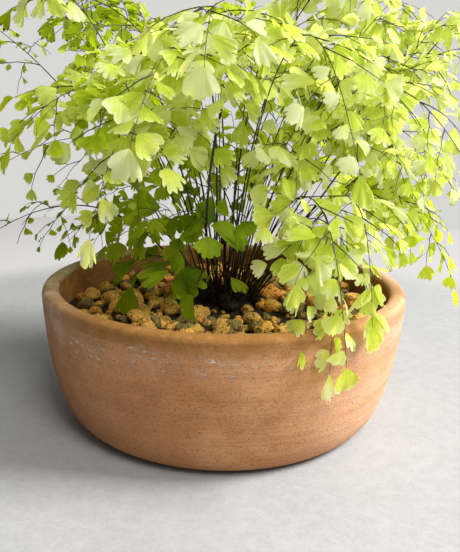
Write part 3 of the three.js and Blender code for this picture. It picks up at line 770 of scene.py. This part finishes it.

# A frond's base on the crown, the top of its arch, its tip, the size of its leaflets,
# the bare share of its length, its longest pinna, the turn of its blade, and its tone, its
# painted light and shade, from 0, the deep green of shaded leaves, to 1, the pale green of
# new ones in the sun.
FRONDS = [
    ((-14, 8), (-92, 22, 186), (-184, 52, 262), 10, 0.7, 44, 20, 0.5),
    ((-17, 1), (-80, -8, 132), (-154, -36, 112), 10, 0.46, 42, 30, 0.5),
    ((-11, 4), (-64, -14, 172), (-154, -40, 146), 13, 0.36, 62, 35, 0.7),
    ((-10, -7), (-40, -44, 190), (-62, -116, 136), 15, 0.36, 62, 0, 0.86),
    ((-4, -8), (-20, -46, 216), (-40, -128, 178), 16, 0.38, 60, 0, 0.9),
    ((-8, 13), (-56, 44, 216), (-128, 84, 226), 9, 0.4, 64, 40, 0.7),
    ((-5, 7), (-48, 6, 232), (-130, -10, 252), 11, 0.38, 66, 35, 0.56),
    ((-13, 14), (-60, 26, 122), (-120, 34, 104), 14, 0.4, 42, 35, 0.45),
    ((-9, -1), (-56, -26, 196), (-112, -72, 176), 14, 0.4, 66, 20, 0.75),
    ((-3, -2), (-6, -48, 226), (-8, -146, 210), 17, 0.42, 60, 0, 1),
    ((8, 4), (16, 30, 230), (52, 92, 252), 11, 0.42, 58, 30, 0.72),
    ((0, 13), (-10, 38, 238), (-34, 108, 264), 11, 0.42, 60, 30, 0.74),
    ((6, -4), (32, -22, 172), (40, -64, 140), 16, 0.38, 48, 0, 0.86),
    ((10, -10), (44, -64, 150), (60, -124, 78), 17, 0.4, 50, 0, 0.96),
    ((16, -9), (48, -44, 134), (78, -98, 98), 17, 0.36, 48, 0, 0.96),
    ((15, 2), (72, -4, 188), (148, -20, 144), 12, 0.36, 66, 35, 0.85),
    ((11, 9), (72, 8, 216), (160, 14, 210), 12, 0.38, 66, 35, 0.92),
    ((7, 15), (60, 30, 238), (140, 50, 264), 12, 0.38, 66, 35, 0.9),
    ((3, 2), (34, -2, 238), (92, -14, 268), 13, 0.4, 66, 35, 0.92),
    ((20, -3), (88, -14, 150), (142, -40, 94), 11, 0.38, 52, 25, 0.8),
    ((3, -9), (30, -62, 224), (54, -146, 170), 15, 0.38, 56, 0, 0.95),
    ((12, -3), (66, -54, 204), (124, -108, 152), 13, 0.38, 60, 10, 1),
    ((3, 8), (40, 30, 206), (92, 64, 214), 12, 0.38, 62, 35, 0.75),
    ((-6, 19), (-40, 74, 180), (-84, 140, 146), 12, 0.36, 62, -10, 0.55),
    ((9, 21), (54, 70, 188), (106, 126, 154), 12, 0.36, 62, -10, 0.6),
    ((17, 12), (70, 48, 152), (134, 70, 120), 12, 0.36, 58, 25, 0.65),
]
YOUNG_FRONDS = [
    ((-14, -12), (-34, -22, 104), (-58, -36, 92), 15, 0.36, 34, 10, 0.1),
    ((-5, -16), (-10, -30, 98), (-18, -48, 90), 15, 0.4, 24, 0, 0.16),
    ((2, -16), (-8, -26, 132), (-28, -44, 118), 14, 0.34, 44, 0, 0.08),
    ((-17, -6), (-38, -8, 134), (-68, -22, 116), 13, 0.4, 44, 20, 0.36),
]

# What sets single fronds apart, by number. Young fronds count on from the grown ones,
# and inner fronds from the young ones. The first bear spores. Thin ones have lost a share
# of their leaflets. On level ones the leaflets hardly sag. Some stalks are stouter, by
# their radius, and some fronds' leaflets are larger or smaller than the rule's.
FERTILE = (6, 7, 12)
THIN = {1: 0.35, 2: 0.35, 3: 0.35, 28: 0.45}
LEVEL = (3, 4, 5, 9, 21, 25, 26, 51, 55, 56, 61)
STOUT = {4: 0.7, 8: 0.7, 15: 0.7, 32: 0.95}
LEAF_SIZES = {
    1: 0.66, 2: 0.62, 3: 0.68, 14: 0.96, 16: 0.92, 17: 0.95, 18: 1, 21: 0.9, 22: 0.93,
    27: 1.4, 28: 1.1, 29: 1.25, 30: 1.3, 45: 0.85,
}

# Each kind of leaflet: how far it spreads to its narrow and its broad side in degrees,
# how much shorter its broad side is, how tall it is for its width, and its lobes.
LEAF_KINDS = [
    ((40, 62), (40, 62), (0, 0.12), (0.88, 1), (4, 6.9)),
    ((8, 28), (54, 80), (0.18, 0.38), (1.02, 1.22), (4, 5.9)),
    ((28, 44), (48, 70), (0.08, 0.25), (0.92, 1.08), (4, 5.9)),
    ((22, 34), (22, 38), (0, 0.12), (1.05, 1.25), (3, 4.9)),
]
LOBE_STEPS = 5
LEAF_RINGS = (0.36, 0.66, 0.88, 1)
SHAPE_COUNT = 36
DEEP_FROM = 24
SHAPE_SEED = 2203


def about(vector, axis, angle):
    aside = np.cross(axis, vector) * sin(angle)
    return vector * cos(angle) + aside + axis * np.dot(axis, vector) * (1 - cos(angle))


def leaflet_shape(number, draw):
    """A fan, wing or oval with round lobes, fine teeth and soft folds, 1 long."""
    narrow, broad, slant, tall, lobes = LEAF_KINDS[number % len(LEAF_KINDS)]
    lobes = int(draw(*lobes))
    columns = lobes * LOBE_STEPS
    left, right = radians(draw(*narrow)), radians(draw(*broad))
    slant, tall = draw(*slant), draw(*tall)
    deep = (0.16, 0.36) if number >= DEEP_FROM else (0.14, 0.3) if number % 3 == 0 else (0.07, 0.19)
    notches = [draw(*deep) for _ in range(lobes + 1)]
    ripple = draw(0.015, 0.05)
    size = [draw(0.9, 1.06) for _ in range(lobes)]
    teeth, phase = draw(0.008, 0.03), draw(*ANY_WAY)
    pleat, wave = draw(0.002, 0.014), draw(0.02, 0.08)
    cup, hang, twist = draw(-0.34, 0.24), draw(0, 0.34), draw(-0.3, 0.3)
    points, notes = [(0, 0, 0)], [(0.5, 0, 0)]
    for ring in LEAF_RINGS:
        for i in range(columns + 1):
            across = 2 * i / columns - 1
            lobe = min(lobes - 1, i // LOBE_STEPS)
            part = i / LOBE_STEPS - lobe
            bulge = sin(pi * part) ** 0.55 if 0 < part < 1 else 0
            notch = notches[lobe + (part > 0.5)] * (0.6 if i in (0, columns) else 1)
            fringe = teeth * sin(i * 2.4 + phase)
            reach = size[lobe] * (1 - 0.26 * abs(across) ** 4) * (1 - slant * (across + 1) / 2)
            reach *= 1 - (notch * (1 - bulge) - fringe) * ring ** 4
            angle = across * (left if across < 0 else right) * (1.22 - 0.22 * ring)
            x, y = ring * reach * sin(angle), ring * reach * cos(angle) * tall
            fold = pleat * cos(2 * pi * (part - 0.5))
            fold += wave * sin(across * 4 + phase)
            z = cup * x * x + twist * x * y - hang * y * y + fold * ring * ring
            z += ripple * ring ** 3 * sin(across * 8.5 + 2 * phase)
            points.append((x, y, z))
            spore = (ring == 1) + 0.5 * (ring == 0.88) if abs(part - 0.5) < 0.15 else 0
            notes.append(((across + 1) / 2, ring, spore))
    faces = [(0, 2 + i, 1 + i) for i in range(columns)]
    for ring in range(len(LEAF_RINGS) - 1):
        for low in range(1 + ring * (columns + 1), (ring + 1) * (columns + 1)):
            high = low + columns + 1
            faces += [(low, low + 1, high + 1), (low, high + 1, high)]
    return np.array(points), np.array(faces), np.array(notes)


shape_draw = draws(SHAPE_SEED)
LEAF_SHAPES = [leaflet_shape(number, shape_draw) for number in range(SHAPE_COUNT)]


class Frond:
    """A frond's wires and leaflets. Its spine arches from t = 0 at the foot to t = 1."""

    def __init__(self, row, number):
        base, arch, tip, self.leaf, self.bare, self.pinna, self.turn, self.tone = row
        self.foot = np.array([*base, crown_height(hypot(*base)) - STALK_DEPTH])
        self.tip = np.array(tip, float)
        self.bend = 2 * np.array(arch, float) - (self.foot + self.tip) / 2
        self.number = number
        self.wires, self.leaves = Form(), Form()
        self.draw = draws(TWIG_SEED + SEED_STEP * number)
        self.grow()

    def at(self, t):
        return self.foot * (1 - t) ** 2 + 2 * self.bend * t * (1 - t) + self.tip * t * t

    def run(self, t):
        return (1 - t) * (self.bend - self.foot) + t * (self.tip - self.bend)

    def length(self):
        """The length of the part that bears leaflets."""
        path = np.array([self.at(self.bare + (1 - self.bare) * i / 40) for i in range(41)])
        return norm(np.diff(path, axis=0), axis=1).sum()

    def wire(self, path, thick, thin, sides, age):
        points, faces = tube(path, np.linspace(thick, thin, len(path)), sides)
        share = np.repeat(np.linspace(0, 1, len(path)), sides)
        self.wires.add(points, faces, np.outer(share, [age, 0, 0]))

    def spot(self, t):
        """The stalk's place at t, where it wanders a little off its clean arch."""
        own = self.number * 5.7
        bow = [noise.noise(Vector((t * 3.2, own, k * 9.1))) for k in range(3)]
        return self.at(t) + 9 * t * (1 - t) * np.array(bow) * [1, 1, 0.5]

    def stretch(self, start, end):
        return np.array([self.spot(t) for t in np.linspace(start, end, STALK_STEPS)])

    def leaflet(self, at, ahead, outward, spread, size):
        """One leaflet on its hair stalk, with its face turned to the light."""
        draw, number = self.draw, self.number
        if number in THIN and draw(0, 1) < THIN[number]:
            return
        sag = draw(*LEAF_SAG) * (0.3 if number in LEVEL else 1)
        axis = unit(ahead * cos(spread) + outward * sin(spread) - UP * sag)
        aside = at * [1, 1, 0] / (1 + norm(at[:2]))
        scatter = np.array([draw(-1, 1), draw(-1, 1), draw(-1, 1)])
        lit = 0.3 * aside + LIGHT_WAY + 0.5 * scatter
        roll = radians(draw(-LEAF_ROLL, LEAF_ROLL))
        across = about(unit(np.cross(axis, lit)), axis, roll)
        face = np.cross(across, axis)
        size *= LEAF_SIZES.get(number, LEAF_SIZE)
        foot = at + axis * size * HAIR_SHARE
        middle = at + axis * size * HAIR_SHARE * 0.5 + UP * size * 0.02
        self.wire([at, middle, foot + axis * size * 0.05], 0.17, 0.12, 3, 0.6)
        deep = draw(0, 1) < (0.55 if 0.3 < self.tone < 0.58 else 0.12)
        first, last = (DEEP_FROM, SHAPE_COUNT) if deep else (0, DEEP_FROM)
        shape, faces, notes = LEAF_SHAPES[int(draw(first, last - 0.001))]
        hand = 1 if draw(0, 1) < 0.5 else -1
        x, y, z = shape[:, :1], shape[:, 1:2], shape[:, 2:]
        points = foot + size * (x * across * hand + y * axis + z * face)
        notes = notes * [1, 0.998, number in FERTILE]
        notes[:, 1] += int(draw(0, LEAF_TONES))
        self.leaves.add(points, faces if hand > 0 else faces[:, ::-1], notes)

    def branch(self, at, heading, reach, droop, face, pitch, size, thick):
        """A side branch with leaflets set left and right, and one at its end."""
        draw = self.draw
        steps = max(2, round(reach / pitch))
        share = np.arange(steps + 1)[:, None] / steps
        path = at + heading * reach * share - UP * droop * reach * share ** 2
        zigzag = np.array([(-1) ** i * min(i, 1) * 0.35 for i in range(steps + 1)])[:, None]
        path = path + np.cross(face, heading) * zigzag
        self.wire(path, thick, END_RADIUS, 4, 0.5)
        for k in range(1, steps + 1):
            ahead = unit(path[k] - path[k - 1])
            aside = unit(np.cross(face, ahead)) * (-1) ** k
            spread = radians(draw(45, 70) if k < steps else draw(0, 15))
            own_size = size * draw(0.8, 1.16) * (1 - 0.2 * k / steps)
            self.leaflet(path[k], ahead, aside, spread, own_size)
        return path

    def joints(self, count):
        """Where side branches leave the stalk: the solid's own, and more in between."""
        planned, draw = draws(PINNA_SEED + SEED_STEP * self.number), self.draw
        joints = []
        for i in range(count):
            shape = [planned(*span) for span in (PINNA_LENGTH, PINNA_SWING, PINNA_DROOP)]
            joints.append(((i + FIRST_PINNA) / count, (-1) ** i, *shape))
        extra = round(self.length() / (self.leaf * CLOSE_PITCH)) - count
        for k in range(0 if self.number in THIN else extra):
            share, hand = joints[min(count - 1, int((k + 0.5) * count / extra))][:2]
            share = min(0.98, share + draw(0.3, 0.6) / count)
            joints.append((share, -hand, draw(0.8, 1.05), draw(*PINNA_SWING), draw(*PINNA_DROOP)))
        return joints

    def grow(self):
        leaf, draw, bare = self.leaf, self.draw, self.bare
        blade = 1 - bare
        level = unit(np.cross(UP, self.tip - self.foot))
        turn = radians(self.turn) * copysign(1, self.tip[0] - self.foot[0])
        stout = STOUT.get(self.number, 0.34 + 0.1 * (self.number * 7 % 5))
        self.wire(self.stretch(0, bare), stout, stout * 0.7, 7, 0)
        self.wire(self.stretch(bare, 1), stout * 0.7, END_RADIUS, 6, 0.35)
        count = round(self.length() / (leaf * PINNA_PITCH))
        count = min(MOST_PINNAE, max(FEWEST_PINNAE, count))
        for share, hand, length, swing, droop in self.joints(count):
            t = bare + blade * share
            at, ahead = self.spot(t), unit(self.run(t))
            face = unit(np.cross(ahead, about(level, ahead, turn)))
            left = np.cross(face, ahead)
            reach = self.pinna * (1 - share) ** PINNA_TAPER * length
            swing = radians(swing)
            heading = ahead * cos(swing) + left * hand * sin(swing)
            if reach < leaf * PINNA_PITCH:
                continue
            pitch = leaf * LEAFLET_PITCH
            path = self.branch(at, heading, reach, droop, face, pitch, leaf, PINNA_RADIUS)
            if reach < leaf * LONG_PINNA:
                continue
            run = unit(path[-1] - path[0])
            for where, side, part in ((0.35, 1, 0.55), (0.6, -1, 0.35)):
                start = path[max(1, int(where * (len(path) - 1)))]
                away = unit(run * 0.6 + unit(np.cross(face, run)) * side * 0.8 - UP * 0.25)
                twig = reach * part, droop, face, leaf * 0.55, leaf * 0.9, TWIG_RADIUS
                self.branch(start, away, *twig)
        single = 1 - (1.5 * leaf / self.pinna) ** (1 / PINNA_TAPER)
        t, hand = bare + blade * max(0.3, min(single, 0.8)), 1
        while t < 0.985:
            at, ahead = self.spot(t), unit(self.run(t))
            aside = np.cross(unit(np.cross(about(level, ahead, turn), ahead)), ahead) * hand
            spread = radians(draw(42, 68))
            self.leaflet(at, ahead, aside, spread, leaf * draw(0.78, 1.05) * (1 - 0.25 * t))
            pitch = leaf * (0.95 if self.number in THIN else 0.5)
            t += pitch / (2 * norm(self.run(t)))
            hand = -hand
        end = unit(self.run(1)) - UP * 0.3
        self.leaflet(self.at(1), unit(end), level, 0.05, leaf * 0.95)


WIRE_BLACK = (0.006, 0.004, 0.004)
WIRE_BROWN = (0.022, 0.012, 0.009)
WIRE_TIP = (0.075, 0.032, 0.014)

wire_finish, wire = new_finish("black_stalk")
streak = wire.place().stretched(1, 1, 0.2).grain(700, 3, 0.6)
age = wire.notes().axis("X")
colour = painted(WIRE_BLACK, (streak, WIRE_BROWN), (age.step(0.2, 0.95) * 0.8, WIRE_TIP))
lay(wire, colour, 0.2 + 0.25 * streak, 0.5, streak.bump(0.0001, 0.5))

WORN_BROWN = (0.16, 0.08, 0.025)
SPOT_BROWN = (0.1, 0.06, 0.02)
SPORE_BROWN = (0.035, 0.018, 0.008)


def leaf_finish(name, dark, fresh, light, glow, glow_share):
    """A thin leaf: forked veins from its foot, a soft mottle, and light through it."""
    material, blade = new_finish(name)
    place, notes = blade.place(), blade.notes()
    across, packed, spore = (notes.axis(way) for way in "XYZ")
    out = packed.math("FRACT")
    own = packed.math("FLOOR") / LEAF_TONES
    mottle = place.grain(140, 3, 0.6)
    fan = notes.stretched(15, 1.4, 0).grain(1, 4, 0.65)
    few, many = ((across * count).math("SINE").math("ABSOLUTE") for count in (88, 176))
    between = out.node("Mix", {"data_type": "FLOAT"}, {0: out.step(0.4, 0.6), 2: few, 3: many})
    veins = (1 - between).step(0.5, 0.95) * out.step(0.05, 0.3)
    # Partly painted shade and light: besides each leaflet's own tone, mottle and fan, the colour
    # darkens toward its foot and pales toward its margin.
    ripeness_and_light = own * 0.8 + mottle * 0.4 + fan * 1.1 + out * 0.42 - 0.83
    worn = own.step(0.94, 0.945) * (out + fan * 1.2).step(1.5, 1.62)
    spots = (1 - place.cells(230).step(0.1, 0.17)) * place.grain(60, 2).step(0.6, 0.66)
    spores = spore.step(0.45, 0.6)
    colour = painted(
        dark,
        (ripeness_and_light.step(0, 0.5), fresh),
        (ripeness_and_light.step(0.42, 0.92), light),
        (veins * 0.4, dark),
        # A pale band along the margin: partly the leaflet's own paler edge, partly painted
        # highlight.
        (out.step(0.88, 1) * 0.55, light),
        (worn * 0.9, WORN_BROWN),
        (spots * 0.75, SPOT_BROWN),
        (spores, SPORE_BROWN),
    )
    clear = (1 - worn * 0.8) * (1 - spores) * (1 - spots * 0.6) * (1 - veins * 0.3)
    clear = clear * (0.7 + 0.5 * ripeness_and_light) * glow_share
    relief = (veins * 0.6 + mottle * 0.5 + fan * 0.7).bump(0.0006, 0.7)
    lay(blade, colour, 0.42 + 0.2 * mottle, 0.14, relief, glow, clear)
    return material


# The tone up to which each finish goes, its name, its dark, fresh and light greens, the
# colour of the light through it, and the share that comes through. The finishes are lit and
# shaded copies of one leaf: painted shade at low tones, painted light at high ones.
LEAF_FINISHES = [(top, leaf_finish(*rest)) for top, *rest in (
    (0.3, "shaded_leaf", (0.05, 0.102, 0.001), (0.18, 0.275, 0.002), (0.32, 0.44, 0.014),
     (0.295, 0.46, 0.002), 0.48),
    (0.58, "green_leaf", (0.115, 0.19, 0.001), (0.34, 0.44, 0.004), (0.57, 0.67, 0.05),
     (0.53, 0.675, 0.005), 0.55),
    (0.84, "bright_leaf", (0.155, 0.25, 0.001), (0.51, 0.62, 0.02), (0.84, 0.93, 0.25),
     (0.79, 0.915, 0.03), 0.57),
    (9, "pale_leaf", (0.235, 0.36, 0.002), (0.66, 0.76, 0.085), (0.98, 1, 0.72),
     (0.9, 0.98, 0.2), 0.56),
)]


def leaf_piece(grown, name):
    """A frond's leaves as one piece, in the finish for its tone."""
    finish = next(finish for top, finish in LEAF_FINISHES if grown.tone < top)
    return grown.leaves.piece(name, finish)


for number, row in enumerate(FRONDS, 1):
    grown = Frond(row, number)
    wires = grown.wires.piece(f"fern_wires_{number:02d}", wire_finish)
    leaves = leaf_piece(grown, f"fern_leaves_{number:02d}")
    for made, kind in ((wires, "stalk"), (leaves, "frond")):
        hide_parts(f"{kind}_{number:02d}")
        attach(made, "root")


# More fronds rise among the others and cross them: thin stalks that lean every way, with
# small leaflets in the shade of the middle and paler ones where they reach the light.

INNER_FRONDS = [
    ((14, -4), (0, -4, 142), (-37, 10, 190), 9, 0.78, 26, 0, 0.5),
    ((-5, -9), (-11, -46, 150), (11, -40, 240), 10, 0.86, 22, 0, 0.8),
    ((5, 5), (-27, 6, 135), (-57, 0, 154), 10, 0.62, 30, 10, 0.5),
    ((-9, 1), (21, 6, 142), (52, 16, 197), 10, 0.6, 34, 20, 0.8),
    ((-12, 3), (-3, 10, 134), (23, 24, 190), 9, 0.56, 30, 0, 0.6),
    ((9, -7), (23, -12, 137), (39, -20, 157), 10, 0.66, 24, 0, 0.8),
    ((-1, -1), (6, 6, 145), (2, 20, 196), 9, 0.5, 30, 0, 0.55),
    ((5, 9), (22, 22, 144), (40, 30, 181), 9, 0.5, 34, 0, 0.75),
    ((-7, 9), (-10, 22, 139), (-27, 34, 192), 9, 0.5, 34, 0, 0.3),
    ((16, 0), (50, 10, 149), (83, 20, 199), 11, 0.5, 36, 20, 0.7),
    ((-3, 6), (-14, 8, 120), (-28, 14, 151), 9, 0.5, 26, 0, 0.2),
    ((3, 10), (14, 16, 120), (17, 24, 154), 9, 0.5, 28, 0, 0.24),
    ((-14, 4), (-24, 4, 121), (-44, -4, 150), 10, 0.55, 28, 0, 0.3),
    ((8, 2), (63, 30, 193), (124, 24, 256), 12, 0.5, 44, 25, 0.92),
    ((12, 4), (90, -6, 199), (124, -24, 252), 11, 0.5, 44, 25, 0.95),
    ((6, 12), (53, 60, 193), (117, 70, 262), 11, 0.5, 44, 25, 0.8),
    ((18, 4), (95, 6, 161), (136, -30, 155), 11, 0.45, 44, 20, 0.9),
    ((15, 6), (83, 24, 145), (136, -4, 134), 10, 0.45, 40, 20, 0.85),
    ((0, 12), (30, 60, 200), (74, 76, 258), 11, 0.5, 40, 25, 0.74),
    ((-4, 14), (-10, 70, 206), (7, 96, 262), 11, 0.5, 40, 25, 0.7),
    ((-16, 2), (-61, 20, 143), (-105, 10, 142), 9, 0.5, 34, 20, 0.5),
    ((2, 2), (12, -12, 194), (32, -34, 258), 12, 0.5, 46, 0, 0.96),
    ((10, 0), (58, 0, 200), (98, -20, 262), 12, 0.5, 46, 20, 0.96),
    ((14, 6), (84, 12, 194), (140, 12, 260), 11, 0.5, 44, 25, 0.96),
    ((-6, 6), (-32, 10, 192), (-62, 20, 262), 9, 0.5, 46, 25, 0.75),
    ((-8, 4), (-52, 0, 182), (-100, -4, 244), 9, 0.5, 40, 25, 0.75),
    ((16, 2), (105, 4, 205), (138, -6, 248), 11, 0.5, 40, 25, 0.96),
    ((12, -12), (51, -58, 144), (54, -116, 71), 14, 0.5, 32, 0, 0.95),
    ((15, -9), (63, -50, 149), (75, -108, 93), 14, 0.5, 34, 0, 0.95),
    ((11, -13), (36, -60, 139), (42, -110, 84), 14, 0.6, 26, 0, 0.9),
    ((-12, 0), (-70, -24, 228), (-108, -50, 246), 12, 0.62, 34, 20, 0.95),
    ((-6, -6), (-8, -40, 200), (-25, -84, 214), 14, 0.55, 40, 0, 0.9),
]
inner_wires = Form()
for number, row in enumerate(INNER_FRONDS, 1):
    grown = Frond(row, len(FRONDS) + len(YOUNG_FRONDS) + number)
    inner_wires.add(*grown.wires.whole())
    leaves = leaf_piece(grown, f"inner_leaves_{number:02d}")
    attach(leaves, "root")
wires = inner_wires.piece("inner_wires", wire_finish)
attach(wires, "root")


# The young fronds stand low in front of the crown, with thin stalks and few, broad
# leaflets of a deeper green, which is painted shade for their low place.

for number, row in enumerate(YOUNG_FRONDS, 1):
    grown = Frond(row, len(FRONDS) + number)
    wires = grown.wires.piece(f"young_wires_{number}", wire_finish)
    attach(wires, "root")
    leaves = leaf_piece(grown, f"young_leaves_{number}")
    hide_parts(f"young_frond_{number}")
    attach(leaves, "root")


# The studio: a plain pale floor, soft light from a window high at the right, a weak fill
# from the front, an even sky that is brighter to the right, and the camera.

FLOOR_RADIUS = 900
FLOOR_STEPS = 96
FLOOR_SPAN = (0.37, 0.48)
WINDOW_WAY = (0.72, -0.05, 0.69)
CAMERA_PLACE = (0.0036, -0.373, 0.183)
CAMERA_PITCH = 14.4
CAMERA_ROLL = 1.34
FOCAL_SHARE = 560 / 552
SENSOR = 36

floor_finish, ground = new_finish("pale_floor")
place = ground.place()
rough = place.grain(120, 4, 0.7).step(0.35, 0.65) + place.grain(520, 3, 0.7).step(0.35, 0.65)
cloud = place.grain(14, 5, 0.65) * 0.56 + rough * 0.22
near_grey = cloud.blend((0.26, 0.261, 0.264), (0.385, 0.385, 0.387))
east = place.axis("X").step(-0.3, 0.3)
far_grey = east.blend((0.48, 0.478, 0.468), (0.385, 0.384, 0.378))
far = place.node("VectorMath", {"operation": "LENGTH"}, {0: place}, "Value").step(*FLOOR_SPAN)
lay(ground, far.blend(near_grey, far_grey), 0.55)
turn = np.arange(FLOOR_STEPS)
rim = ring(FLOOR_RADIUS, 0, FLOOR_STEPS)
fan = np.stack([np.full(FLOOR_STEPS, FLOOR_STEPS), turn, (turn + 1) % FLOOR_STEPS], 1)
floor = Form().add(np.vstack([rim, [[0, 0, 0]]]), fan).piece("floor", floor_finish)

sky = bpy.data.worlds.new("studio_air")
sky.use_nodes = True
sky.node_tree.nodes.clear()
air = Shade(sky.node_tree)
way = air.node("TexCoord", None, None, "Generated")
to_window = way.node("VectorMath", {"operation": "DOT_PRODUCT"}, {0: way, 1: WINDOW_WAY}, "Value")
daylight = to_window.step(-0.6, 1).blend((0.085, 0.087, 0.093), (0.46, 0.457, 0.45))
seen = air.node("LightPath", None, None, "Is Camera Ray").blend(daylight, (0.69, 0.685, 0.66))
air.node("Background", None, {"Color": seen}).ends_in("OutputWorld")
bpy.context.scene.world = sky

for name, place, aim, size, power, colour in (
    ("window", (1.95, -0.2, 1.75), (0, 0, 0.08), 0.85, 144, (1, 0.988, 0.968)),
    ("fill", (0.4, -0.85, 1.25), (0, 0, 0.1), 0.5, 15, (1, 0.995, 0.98)),
):
    lamp = bpy.data.lights.new(name, "AREA")
    lamp.energy, lamp.size, lamp.color = power, size, colour
    made = bpy.data.objects.new(name, lamp)
    made.location = place
    made.rotation_euler = (Vector(aim) - Vector(place)).to_track_quat("-Z", "Y").to_euler()
    bpy.context.collection.objects.link(made)

camera = bpy.data.objects.new("camera", bpy.data.cameras.new("camera"))
camera.data.sensor_width = SENSOR
camera.data.lens = SENSOR * FOCAL_SHARE
camera.data.clip_start = 0.01
tilt = Matrix.Rotation(radians(90 - CAMERA_PITCH), 4, "X")
roll = Matrix.Rotation(radians(CAMERA_ROLL), 4, "Z")
camera.matrix_world = Matrix.Translation(CAMERA_PLACE) @ tilt @ roll
bpy.context.collection.objects.link(camera)
bpy.context.scene.camera = camera
bpy.context.scene.view_settings.view_transform = "Standard"
